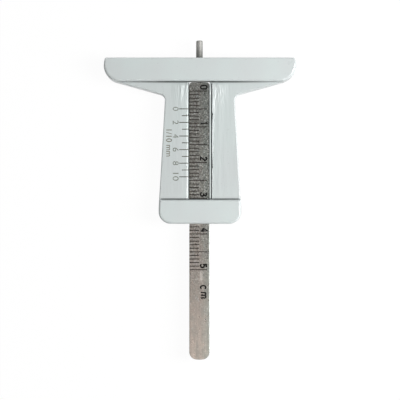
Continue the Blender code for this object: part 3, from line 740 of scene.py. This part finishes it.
def etched_black(name, black, rubbed):
    """Etched and blackened steel: quite matt, with a paler brown where it is rubbed; the figures are
    blacker than the lines, which the frame wears."""
    material, tree, place = bare_material(name)
    wear = add(tree, "ShaderNodeTexNoise", {"Vector": place, "Scale": 1 / (0.4 * MM), "Detail": 3})
    worn = add(tree, "ShaderNodeMapRange", {"Value": wear, "From Min": 0.55, "From Max": 0.8})
    colour = add(tree, "ShaderNodeMix", {"Factor": worn, "A": to_linear(black), "B": to_linear(rubbed)},
                 data_type="RGBA")
    relief = add(tree, "ShaderNodeBump", {"Height": wear, "Distance": 0.01 * MM})
    shader = add(tree, "ShaderNodeBsdfPrincipled", {"Base Color": colour, "Roughness": 0.75,
                                                    "Specular IOR Level": 0.3, "Normal": relief})
    add(tree, "ShaderNodeOutputMaterial", {"Surface": shader})
    return material


def turned_steel():
    """Turned steel rod: a satin neutral metal with fine rings round it from the tool, and painted shade that
    darkens it towards the bar."""
    material, tree, place = bare_material("turned_steel")
    rings = add(tree, "ShaderNodeMapping", {"Vector": place, "Scale": per_metre(2, 0.1, 2)})
    rings = add(tree, "ShaderNodeTexNoise", {"Vector": rings, "Scale": 1, "Detail": 3, "Roughness": 0.6})
    tone = add(tree, "ShaderNodeMapRange", {"Value": rings, "From Min": 0.35, "From Max": 0.65})
    colour = add(tree, "ShaderNodeMix", {"Factor": tone, "A": to_linear("#A6A6A3"),
                                         "B": to_linear("#B6B5B2")}, data_type="RGBA")
    parts = add(tree, "ShaderNodeSeparateXYZ", {"Vector": place})
    # Painted shade: the pin is darkened where it meets the bar.
    bar_shade = add(tree, "ShaderNodeMapRange", {"Value": parts.outputs["Y"], "From Min": level(-BAR_SHADE_REACH),
                                             "From Max": level(-BAR_SHADE_FULL), "To Max": 0.8})
    colour = add(tree, "ShaderNodeMix", {"Factor": bar_shade, "A": colour, "B": to_linear("#7F7F7C")},
                 data_type="RGBA")
    gloss = add(tree, "ShaderNodeMapRange", {"Value": rings, "From Min": 0.3, "From Max": 0.7,
                                             "To Min": 0.68, "To Max": 0.75})
    relief = add(tree, "ShaderNodeBump", {"Height": rings, "Distance": 0.004 * MM})
    shader = add(tree, "ShaderNodeBsdfPrincipled", {"Base Color": colour, "Metallic": 1, "Roughness": gloss,
                                                    "Normal": relief})
    add(tree, "ShaderNodeOutputMaterial", {"Surface": shader})
    return material


def spring_strip():
    """Spring steel strip: smooth bright metal, a little blued, with fine lines along the strip."""
    material, tree, place = bare_material("spring_strip")
    lines = add(tree, "ShaderNodeMapping", {"Vector": place, "Scale": per_metre(0.3, 3, 0.08)})
    lines = add(tree, "ShaderNodeTexNoise", {"Vector": lines, "Scale": 1, "Detail": 2})
    tone = add(tree, "ShaderNodeMapRange", {"Value": lines, "From Min": 0.35, "From Max": 0.65})
    colour = add(tree, "ShaderNodeMix", {"Factor": tone, "A": to_linear("#9DA0A3"),
                                         "B": to_linear("#B9BBBC")}, data_type="RGBA")
    gloss = add(tree, "ShaderNodeMapRange", {"Value": lines, "From Min": 0.3, "From Max": 0.7,
                                             "To Min": 0.22, "To Max": 0.3})
    relief = add(tree, "ShaderNodeBump", {"Height": lines, "Distance": 0.002 * MM})
    shader = add(tree, "ShaderNodeBsdfPrincipled", {"Base Color": colour, "Metallic": 1, "Roughness": gloss,
                                                    "Normal": relief})
    add(tree, "ShaderNodeOutputMaterial", {"Surface": shader})
    return material


# Figures and letters

def engraving(name, text, middle, baseline, cap, length, paint):
    """A cutter for a word in the web, fitted to its cap height and length; it reads towards -Y with its
    tops towards +X."""
    curve = bpy.data.curves.new(name, "FONT")
    curve.body = text
    curve.size = cap
    curve.extrude = OVERRUN / 2
    obj = place_mesh(name, curve)
    bpy.context.view_layer.update()
    mesh = bpy.data.meshes.new_from_object(obj.evaluated_get(bpy.context.evaluated_depsgraph_get()))
    bpy.data.objects.remove(obj, do_unlink=True)
    low = Vector([min(vert.co[i] for vert in mesh.vertices) for i in range(3)])
    high = Vector([max(vert.co[i] for vert in mesh.vertices) for i in range(3)])
    size = high - low
    centre = (low + high) / 2
    fit = Matrix.Diagonal((length / size.x, cap / size.y, 1, 1)) @ Matrix.Translation(-centre)
    turn = Matrix.Rotation(-pi / 2, 4, "Z")
    place = Matrix.Translation((baseline + cap / 2, middle, WEB_FRONT - NUMERAL_DEPTH + OVERRUN / 2))
    mesh.transform(place @ turn @ fit)
    work = bmesh.new()
    work.from_mesh(mesh)
    bmesh.ops.remove_doubles(work, verts=work.verts, dist=MERGE)
    bmesh.ops.dissolve_degenerate(work, edges=work.edges, dist=MERGE)
    bmesh.ops.recalc_face_normals(work, faces=work.faces)
    work.to_mesh(mesh)
    work.free()
    mesh.materials.clear()
    mesh.materials.append(paint)
    return place_mesh(name, mesh)


def turn_round(x, y, across, high, start, end):
    """Points on an oval about a centre, its angles in degrees measured from +x towards +y."""
    points = arc((0, 0), 1, radians(start), radians(end))
    return [Vector((x + across * point.x, y + high * point.y)) for point in points]


def figure_strokes():
    """Centre lines of the blade's figures and letters, each in a box of width and height one."""
    nought = turn_round(0.5, 0.68, 0.5, 0.32, 0, 180) + turn_round(0.5, 0.32, 0.5, 0.32, 180, 360)
    return {
        "0": [nought + nought[:1]],
        "1": [[Vector((0.1, 0.72)), Vector((0.75, 1)), Vector((0.75, 0))]],
        "2": [turn_round(0.5, 0.71, 0.46, 0.29, 170, -25) + [Vector((0.02, 0)), Vector((1, 0))]],
        "3": [turn_round(0.48, 0.76, 0.44, 0.24, 160, -90) + turn_round(0.48, 0.27, 0.52, 0.27, 85, -165)],
        "4": [[Vector((0.72, 0)), Vector((0.72, 1)), Vector((0, 0.3))],
              [Vector((0, 0.3)), Vector((1, 0.3))]],
        "5": [[Vector((0.92, 1)), Vector((0.14, 1)), Vector((0.06, 0.52))]
              + turn_round(0.46, 0.32, 0.54, 0.32, 125, -150)],
        "c": [turn_round(0.5, 0.5, 0.5, 0.5, 38, 322)],
        "m": [[Vector((0, 0)), Vector((0, 1))],
              turn_round(0.25, 0.72, 0.25, 0.28, 180, 0) + [Vector((0.5, 0))],
              turn_round(0.75, 0.72, 0.25, 0.28, 180, 0) + [Vector((1, 0))]],
    }


def ribbon(work, line, width, low, high):
    """A flat stroke of even width along a line, from one height to another."""
    closed = (line[0] - line[-1]).length < MERGE
    line = line[:-1] if closed else line
    rims = []
    for i, point in enumerate(line):
        before = line[i - 1] if i or closed else None
        after = line[(i + 1) % len(line)] if closed or i + 1 < len(line) else None
        ways = [(point - before).normalized()] if before else []
        ways += [(after - point).normalized()] if after else []
        way = sum(ways, Vector((0, 0))).normalized()
        side = Vector((-way.y, way.x))
        reach = width / 2 / max(abs(way.dot(ways[0])), LEAST_MITRE)
        corners = (point + side * reach, point - side * reach)
        rims.append([work.verts.new((corner.x, corner.y, z)) for corner in corners for z in (low, high)])
    pairs = list(zip(rims, rims[1:])) + ([(rims[-1], rims[0])] if closed else [])
    for one, two in pairs:
        for a, b in ((1, 3), (3, 2), (2, 0), (0, 1)):
            work.faces.new((one[a], one[b], two[b], two[a]))
    if not closed:
        work.faces.new([rims[0][i] for i in (0, 2, 3, 1)])
        work.faces.new([rims[-1][i] for i in (1, 3, 2, 0)])


def etched_figures():
    """The blade's figures and its unit, etched flat: they read towards -Y with their tops towards +X."""
    strokes = figure_strokes()
    work = bmesh.new()
    base = FIGURE_BASE + FIGURE_STROKE / 2
    for figure, middle, width, height in FIGURES:
        start = ZERO_MARK_Y - (middle - width / 2) * MM
        stroke = FIGURE_STROKE if figure.isdigit() else LETTER_STROKE
        for i, line in enumerate(strokes[figure]):
            placed = [Vector((base + point.y * height * MM, start - point.x * width * MM)) for point in line]
            front = BLADE_FRONT + FIGURE_PROUD - i * STROKE_STAGGER
            ribbon(work, placed, stroke, BLADE_FRONT - FIGURE_SINK, front)
    bmesh.ops.recalc_face_normals(work, faces=work.faces)
    figures = on_slide(place_shape("etched_figures", work))
    figures.data.materials.append(etched_black("figure_black", "#070605", "#2B2622"))
    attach(figures, "blade")


# Frame

def right_side():
    """Corners of the frame's right side, from the foot up to the measuring face."""
    return [
        (FOOT_HALF_WIDTH, level(FOOT_END_DROP), FOOT_RADIUS),
        (SHOULDER_HALF_WIDTH, level(SHOULDER_DROP), 0),
        (NECK_HALF_WIDTH, level(NECK_DROP), NECK_RADIUS),
        (END_HALF_WIDTH, level(END_DROP), END_RADIUS),
        (FACE_HALF_WIDTH, level(0), FACE_CORNER_RADIUS),
    ]


def mirrored(corners):
    """The same corners on the other side of x = 0, in the order that closes the outline."""
    return [(-x, y, radius) for x, y, radius in reversed(corners)]


def rounded_foot(radius):
    """The rounding between a floor and a wall, as distances from the wall and heights over the floor."""
    return arc((radius, radius), radius, -pi / 2, -pi)


def creased_foot(width, depth):
    """A fine crease between a floor and a wall, where an insert of the mould leaves its line."""
    return [Vector((width, 0)), Vector((width, -depth)), Vector((0, -depth))]


def wall_section(place, side, floor, front, foot, lip_radius, lean):
    """One wall of an open recess, from its floor up: its foot, the wall and a rounded lip."""
    lip = arc((lean + lip_radius, front - lip_radius), lip_radius, pi, pi - LIP_SWEEP)
    run = lip[-1] + Vector((sin(LIP_SWEEP), cos(LIP_SWEEP))) * lip_radius
    section = [Vector((-point.x, floor + point.y)) for point in foot]
    section += lip + [run, Vector((run.x, front + OVERRUN))]
    return [Vector((place + side * point.x, point.y)) for point in section]


def recess_section(low, high, floor, front, foot, low_lip, high_lip, lean):
    """Section of a cutter for a recess between two walls, open to the front."""
    rising = wall_section(high, 1, floor, front, foot, high_lip, lean)
    falling = wall_section(low, -1, floor, front, foot, low_lip, lean)
    return rising + falling[::-1]


def edge_share(drop):
    """How round the front edge is: least at the measuring face, most at the ends of the bar."""
    if drop > BAR_HEIGHT:
        return FOOT_EDGE_SHARE
    ramp = min(drop / (BAR_HEIGHT / 2), 1)
    return FACE_EDGE_SHARE + (1 - FACE_EDGE_SHARE) * ramp


def cored_back(hand, side, channel_wall):
    """The hollow behind one half of the frame, with filleted ribs left standing."""
    corners = [(channel_wall, level(FOOT_END_DROP), 0)] + right_side() + [(channel_wall, level(0), 0)]
    hollow = inset(corners, WALL)
    if side < 0:
        hollow = mirrored(hollow)
    cutter = prism(hand + "_hollow", rounded(hollow), -OVERRUN, FRAME_DEPTH - SKIN)
    ceiling = FRAME_DEPTH + OVERRUN
    kept = [((-WIDTH_LIMIT, level(FOOT_DROP + WALL), WEB_FRONT - SKIN),
             (WIDTH_LIMIT, level(BAR_HEIGHT - WALL), ceiling))]
    ribs = []
    for share in WING_RIB_SHARES:
        middle = side * share * FACE_HALF_WIDTH
        ribs.append(((middle - RIB / 2, level(NECK_DROP), RIB_RECESS),
                     (middle + RIB / 2, level(0), ceiling)))
    for share in WEB_RIB_SHARES:
        middle = level(NECK_DROP + share * (FOOT_DROP - NECK_DROP))
        ribs.append(((-WIDTH_LIMIT, middle - RIB / 2, RIB_RECESS),
                     (WIDTH_LIMIT, middle + RIB / 2, ceiling)))
    cut(cutter, boxes(hand + "_web_skin", kept))
    cut(cutter, boxes(hand + "_ribs", ribs))
    round_edges(cutter, RIB_FILLET, FILLET_ANGLE, FILLET_SEGMENTS)
    return cutter


def blade_way():
    """The way of the blade through bar and foot, open to the back, and the hollow behind its floor."""
    top = level(-OVERRUN)
    end = level(FOOT_END_DROP + OVERRUN)
    upper_window = level(BAR_WALL_DROP + UPPER_SHUT_OFF)
    lower_window = level(FOOT_WALL_DROP - LOWER_SHUT_OFF)
    section = [(top, -OVERRUN), (top, TUNNEL_ROOF), (upper_window, TUNNEL_ROOF),
               (upper_window, FLOOR_BACK), (lower_window, FLOOR_BACK), (lower_window, TUNNEL_ROOF),
               (end, TUNNEL_ROOF), (end, -OVERRUN)]
    return prism("blade_way", section, -TUNNEL_HALF_WIDTH, TUNNEL_HALF_WIDTH, RUN_ALONG_X)


def spring_line(steps):
    """The bowed line of the spring, from its lower end up, with its crown in the middle, near the tongue."""
    points = []
    for i in range(steps + 1):
        share = 2 * i / steps - 1
        x = SPRING_END - (SPRING_END - SPRING_CROWN) * cos(share * pi / 2)
        points.append((x, level(CHANNEL_MIDDLE_DROP) + share * SPRING_SPAN / 2))
    return points


def spring_slot():
    """The slot that frees the tongue, with a pocket in its right wall for each end of the spring."""
    room = SPRING_THICKNESS / 2 + SPRING_GAP
    line = spring_line(POCKET_STEPS)
    wall = [(max(x + room, SLOT_RIGHT), y) for x, y in line]
    first = (wall[0][0], line[0][1] - SPRING_GAP)
    last = (wall[-1][0], line[-1][1] + SPRING_GAP)
    low = level(CHANNEL_END_DROP)
    high = level(BAR_WALL_DROP + SLOT_LAND)
    outline = [(SLOT_LEFT, high), (SLOT_LEFT, low), (SLOT_RIGHT, low), (SLOT_RIGHT, first[1]), first]
    outline += [point for point in wall[1:-1] if point[0] > SLOT_RIGHT]
    outline += [last, (SLOT_RIGHT, last[1]), (SLOT_RIGHT, high)]
    return prism("spring_slot", outline, FLOOR_FRONT, WEB_FRONT + OVERRUN)


def slot_rim():
    """A low rim right of the slot, where the mould leaves the web a little proud: broad near the bar, it
    runs out towards the foot."""
    work = bmesh.new()
    rings = []
    start = SLOT_RIGHT - RIM_OVERLAP
    for drop, height, width in RIM_PLACES:
        section = [(start, WEB_FRONT - RIM_ROOT)]
        for i in range(RIM_STEPS + 1):
            share = i / RIM_STEPS
            rise = (height * MM + RIM_RUN_OUT) * (1 - share) ** RIM_FALL - RIM_RUN_OUT
            section.append((start + share * width * MM, WEB_FRONT + rise))
        section.append((start + width * MM, WEB_FRONT - RIM_ROOT))
        rings.append([work.verts.new((x, level(drop * MM), z)) for x, z in section])
    skin(work, rings)
    work.faces.new(rings[0])
    work.faces.new(rings[-1])
    bmesh.ops.triangulate(work, faces=work.faces)
    bmesh.ops.recalc_face_normals(work, faces=work.faces)
    return place_shape("slot_rim", work)


def vernier_marks(paint):
    """Cutters for the lines of the vernier, which run over the rounded edge of the channel."""
    lip_centre = (CHANNEL_LEFT - VERNIER_LIP_RADIUS, WEB_FRONT - VERNIER_LIP_RADIUS)
    bottom = arc(lip_centre, VERNIER_LIP_RADIUS - VERNIER_MARK_DEPTH, VERNIER_MARK_END, pi / 2)
    bottom = [Vector((CHANNEL_LEFT + OVERRUN / 2, bottom[0].y))] + bottom
    ceiling = WEB_FRONT + OVERRUN
    cutter = None
    for i in range(VERNIER_MARKS + 1):
        length = LONG_VERNIER_MARK if i % LONG_VERNIER_EVERY == 0 else SHORT_VERNIER_MARK
        start = CHANNEL_LEFT - length
        section = bottom + [Vector((start, WEB_FRONT - VERNIER_MARK_DEPTH)), Vector((start, ceiling)),
                            Vector((CHANNEL_LEFT + OVERRUN / 2, ceiling))]
        middle = VERNIER_ZERO_DROP + i * VERNIER_STEP
        half = VERNIER_MARK_WIDTH / 2
        mark = prism(f"vernier_line_{i}", section, -level(middle - half), -level(middle + half), RUN_ALONG_Y)
        if cutter:
            combine(mark, cutter, "UNION")
        cutter = mark
    cutter.data.materials.clear()
    cutter.data.materials.append(paint)
    return cutter


def moulded_frame():
    """The moulded frame: measuring bar, recessed web with the blade's channel, and foot."""
    line_paint = vernier_paint("line_paint", "#43473F", "#6B6F66")
    figure_paint = vernier_paint("figure_paint", "#646A61", "#8B9188")
    unit_paint = vernier_paint("unit_paint", "#4F4A3A", "#7C7662")
    outline = rounded(right_side() + mirrored(right_side()))
    body = rounded_plate("moulded_frame", outline, 0, FRAME_DEPTH, BACK_EDGE_RADIUS,
                         lambda drop: FRONT_RADIUS * edge_share(drop))
    step = recess_section(level(FOOT_WALL_DROP), level(BAR_WALL_DROP), WEB_FRONT, FRAME_DEPTH,
                          creased_foot(CREASE_WIDTH, CREASE_DEPTH), STEP_LIP_RADIUS, STEP_LIP_RADIUS,
                          STEP_LEAN)
    cut(body, prism("web_recess", step, -WIDTH_LIMIT, WIDTH_LIMIT, RUN_ALONG_X))
    round_web_edges(body)
    combine(body, on_slide(slot_rim()), "UNION")
    body.data.materials.clear()
    body.data.materials.append(moulded_abs())
    channel = recess_section(CHANNEL_LEFT, TONGUE_LEFT, FLOOR_FRONT, WEB_FRONT,
                             rounded_foot(CHANNEL_FOOT_RADIUS), VERNIER_LIP_RADIUS, TONGUE_LIP_RADIUS, 0)
    channel = prism("channel", channel, -level(CHANNEL_TOP_DROP), -level(CHANNEL_END_DROP), RUN_ALONG_Y)
    for cutter in (channel, spring_slot(), blade_way()):
        cut(body, on_slide(cutter))
    cut(body, cored_back("right", 1, SLOT_RIGHT))
    cut(body, cored_back("left", -1, -CHANNEL_LEFT))
    cut(body, on_slide(vernier_marks(line_paint)))
    for i in range(0, VERNIER_MARKS + 1, LONG_VERNIER_EVERY):
        middle = level(VERNIER_ZERO_DROP + i * VERNIER_STEP)
        length = DIGIT_WIDTH * len(str(i))
        cut(body, engraving(f"vernier_{i}", str(i), middle, NUMERAL_BASELINE, NUMERAL_CAP, length,
                            figure_paint))
    cut(body, engraving("vernier_unit", "1/10 mm", level(UNIT_DROP), UNIT_BASELINE, UNIT_CAP, UNIT_LENGTH,
                        unit_paint))
    smooth_over(body)
    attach(body, "frame")
    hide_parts("gauge_frame")


# Blade and pin

def graduated_blade():
    """The blade: a strip with rounded ends, a bore for the pin and the millimetre scale etched into it."""
    half = BLADE_WIDTH / 2
    end = BLADE_TOP_Y - BLADE_LENGTH
    corners = [(half, end + BLADE_END_BOW, BLADE_END_RADIUS), (half, BLADE_TOP_Y, BLADE_TOP_RADIUS),
               (-half, BLADE_TOP_Y, BLADE_TOP_RADIUS), (-half, end + BLADE_END_BOW, BLADE_END_RADIUS),
               (0, end, 0)]
    blade = rounded_plate("graduated_blade", rounded(corners), BLADE_BACK, BLADE_FRONT, BLADE_EDGE_RADIUS,
                          lambda drop: BLADE_EDGE_RADIUS)
    blade.data.materials.append(rolled_strip())
    bore = arc((0, BLADE_MIDDLE), SPIGOT_DIAMETER / 2 + SPIGOT_CLEARANCE, 0, 2 * pi)
    cut(blade, prism("pin_bore", bore[:-1], -BLADE_TOP_Y - OVERRUN,
                     -BLADE_TOP_Y + SPIGOT_LENGTH + SEAT_GAP, RUN_ALONG_Y))
    marks = []
    for i in range(SCALE_MARKS + 1):
        length = LONG_MARK if i % LONG_MARK_EVERY == 0 else SHORT_MARK
        y = ZERO_MARK_Y - i * SCALE_STEP
        marks.append(((-half - OVERRUN, y - SCALE_MARK_WIDTH / 2, BLADE_FRONT - SCALE_MARK_DEPTH),
                      (-half + length, y + SCALE_MARK_WIDTH / 2, BLADE_FRONT + OVERRUN)))
    cutter = boxes("scale_marks", marks)
    cutter.data.materials.append(etched_black("line_black", "#221C19", "#5C524B"))
    cut(blade, cutter)
    on_slide(blade)
    smooth_over(blade)
    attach(blade, "blade")
    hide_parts("sliding_blade")


def depth_pin():
    """The turned pin: a rounded tip, the shank and the spigot that sits in the blade."""
    radius = PIN_DIAMETER / 2
    start = BLADE_TOP_Y
    profile = [(0, start - SPIGOT_LENGTH), (SPIGOT_DIAMETER / 2, start - SPIGOT_LENGTH),
               (SPIGOT_DIAMETER / 2, start + SEAT_GAP), (radius, start + SEAT_GAP)]
    tip_centre = (radius - PIN_TIP_ROUNDING, start + PIN_REACH - PIN_TIP_ROUNDING)
    profile += arc(tip_centre, PIN_TIP_ROUNDING, 0, pi / 2)
    profile.append((0, start + PIN_REACH))
    work = bmesh.new()
    verts, edges = chain(work, profile, 0)
    bmesh.ops.spin(work, geom=verts + edges, cent=(0, 0, 0), axis=(0, 1, 0), angle=2 * pi,
                   steps=PIN_SEGMENTS, use_merge=True)
    bmesh.ops.remove_doubles(work, verts=work.verts, dist=MERGE)
    bmesh.ops.recalc_face_normals(work, faces=work.faces)
    bmesh.ops.translate(work, verts=work.verts, vec=(0, 0, BLADE_MIDDLE))
    pin = on_slide(place_shape("depth_pin", work))
    pin.data.materials.append(turned_steel())
    smooth_over(pin)
    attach(pin, "blade")
    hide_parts("measuring_pin")


def bowed_spring():
    """The leaf spring: a thin strip on edge in the slot, bowed to press the tongue to the blade."""
    work = bmesh.new()
    edges = chain(work, spring_line(SPRING_STEPS), FLOOR_FRONT + SPRING_GAP)[1]
    raised = bmesh.ops.extrude_edge_only(work, edges=edges)["geom"]
    top = [item for item in raised if isinstance(item, bmesh.types.BMVert)]
    bmesh.ops.translate(work, verts=top, vec=(0, 0, SPRING_HEIGHT))
    bmesh.ops.recalc_face_normals(work, faces=work.faces)
    spring = place_shape("bowed_spring", work)
    strip = spring.modifiers.new("strip", "SOLIDIFY")
    strip.thickness = SPRING_THICKNESS
    strip.offset = 0
    round_edges(spring, SPRING_EDGE, SPRING_EDGE_ANGLE, SPRING_EDGE_SEGMENTS)
    on_slide(spring)
    spring.data.materials.append(spring_strip())
    smooth_over(spring)
    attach(spring, "frame")
    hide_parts("leaf_spring")


# Camera, lights and floor

VIEW_WIDTH = 111.95 * MM
VIEW_CENTRE = Vector((0.014, 0.064, 5.7)) * MM
CAMERA_DISTANCE = 450 * MM
FILM_WIDTH = 36.0
CLIP_START = 10 * MM
FLOOR_SIZE = 1.5
FLOOR_GAP = 0.02 * MM
FLOOR_GLOW = 0.955
ROOM_LIGHT = 0.15
ROOM_WHITE = 1.1
WALL_LIGHT = 0.7
WALL_TOP = radians(60)
WALL_FOOT = radians(30)
# Each lamp with its angles to the right and to the top, its distance, its width and its height in metres,
# its strength and its colour
LAMPS = (("right_box", radians(42), 0, 0.36, 0.14, 0.24, 1.2, "#FFFFFF"),
         ("left_card", radians(-36), 0, 0.6, 0.2, 0.3, 0.06, "#FFFFFF"),
         ("front_card", 0, radians(-17), 0.9, 0.24, 0.24, 0.082, "#FFF0E7"))


def set_camera():
    """A camera straight above the caliper, with the photograph's frame."""
    camera = bpy.data.objects.new("camera", bpy.data.cameras.new("camera"))
    bpy.context.scene.collection.objects.link(camera)
    camera.data.sensor_width = FILM_WIDTH
    camera.data.lens = FILM_WIDTH * CAMERA_DISTANCE / VIEW_WIDTH
    camera.data.clip_start = CLIP_START
    camera.location = VIEW_CENTRE + Vector((0, 0, CAMERA_DISTANCE))
    bpy.context.scene.camera = camera
    bpy.context.scene.view_settings.view_transform = "Standard"


def add_lamp(name, to_right, to_top, distance, width, height, strength, colour):
    """A soft panel that points at the caliper. Its strength is the light that it adds to a surface facing
    it, as a share of white."""
    lamp = bpy.data.lights.new(name, "AREA")
    lamp.shape = "RECTANGLE"
    lamp.size = width
    lamp.size_y = height
    lamp.color = to_linear(colour)[:3]
    lamp.energy = strength * (pi * distance) ** 2
    obj = bpy.data.objects.new(name, lamp)
    bpy.context.scene.collection.objects.link(obj)
    direction = Vector((sin(to_right) * cos(to_top), sin(to_top), cos(to_right) * cos(to_top)))
    obj.location = direction * distance
    obj.rotation_euler = direction.to_track_quat("Z", "Y").to_euler()


def set_room():
    """A dim plain room, white to the camera, whose walls show pale in metal that is seen from the side."""
    world = bpy.data.worlds.new("room")
    bpy.context.scene.world = world
    world.use_nodes = True
    tree = world.node_tree
    tree.nodes.clear()
    way = add(tree, "ShaderNodeTexCoord").outputs["Generated"]
    parts = add(tree, "ShaderNodeSeparateXYZ", {"Vector": way})
    walls = add(tree, "ShaderNodeMapRange", {"Value": parts.outputs["Z"], "From Min": sin(WALL_TOP),
                                             "From Max": sin(WALL_FOOT), "To Max": WALL_LIGHT})
    ray = add(tree, "ShaderNodeLightPath").outputs
    walls = add(tree, "ShaderNodeMath", {0: walls, 1: ray["Is Glossy Ray"]}, operation="MULTIPLY")
    seen = add(tree, "ShaderNodeMath", {0: ROOM_WHITE, 1: ray["Is Camera Ray"]}, operation="MULTIPLY")
    light = add(tree, "ShaderNodeMath", {0: walls, 1: seen}, operation="MAXIMUM")
    light = add(tree, "ShaderNodeMath", {0: light, 1: ROOM_LIGHT}, operation="MAXIMUM")
    background = add(tree, "ShaderNodeBackground", {"Color": to_linear("#F4F7F8"), "Strength": light})
    add(tree, "ShaderNodeOutputWorld", {"Surface": background})


def set_lights():
    """A soft box on the right, a weak card on the left, a warm one low in front, and a plain room."""
    for lamp in LAMPS:
        add_lamp(*lamp)
    set_room()


def set_floor():
    """A plain white floor that keeps the caliper's shadow, and lets a view from below through."""
    material, tree = bare_material("white_floor")[:2]
    paper = add(tree, "ShaderNodeBsdfDiffuse", {"Color": to_linear("#EDEDED")})
    matt = add(tree, "ShaderNodeBsdfDiffuse", {"Color": to_linear("#3F3F3F")})
    glow = add(tree, "ShaderNodeEmission", {"Strength": FLOOR_GLOW})
    white = add(tree, "ShaderNodeAddShader", {0: matt, 1: glow})
    ray = add(tree, "ShaderNodeLightPath").outputs
    seen = add(tree, "ShaderNodeMath", {0: ray["Is Camera Ray"], 1: ray["Is Glossy Ray"]},
               operation="MAXIMUM")
    seen = add(tree, "ShaderNodeMath", {0: seen, 1: ray["Is Transmission Ray"]}, operation="MAXIMUM")
    shown = add(tree, "ShaderNodeMixShader", {0: seen, 1: paper, 2: white})
    clear = add(tree, "ShaderNodeBsdfTransparent")
    back = add(tree, "ShaderNodeNewGeometry").outputs["Backfacing"]
    add(tree, "ShaderNodeOutputMaterial", {"Surface": add(tree, "ShaderNodeMixShader",
                                                          {0: back, 1: shown, 2: clear})})
    work = bmesh.new()
    bmesh.ops.create_grid(work, x_segments=1, y_segments=1, size=FLOOR_SIZE)
    bmesh.ops.translate(work, verts=work.verts, vec=(0, 0, -FLOOR_GAP))
    floor = place_shape("floor", work)
    floor.data.materials.append(material)


moulded_frame()
graduated_blade()
etched_figures()
depth_pin()
bowed_spring()
set_camera()
set_lights()
set_floor()
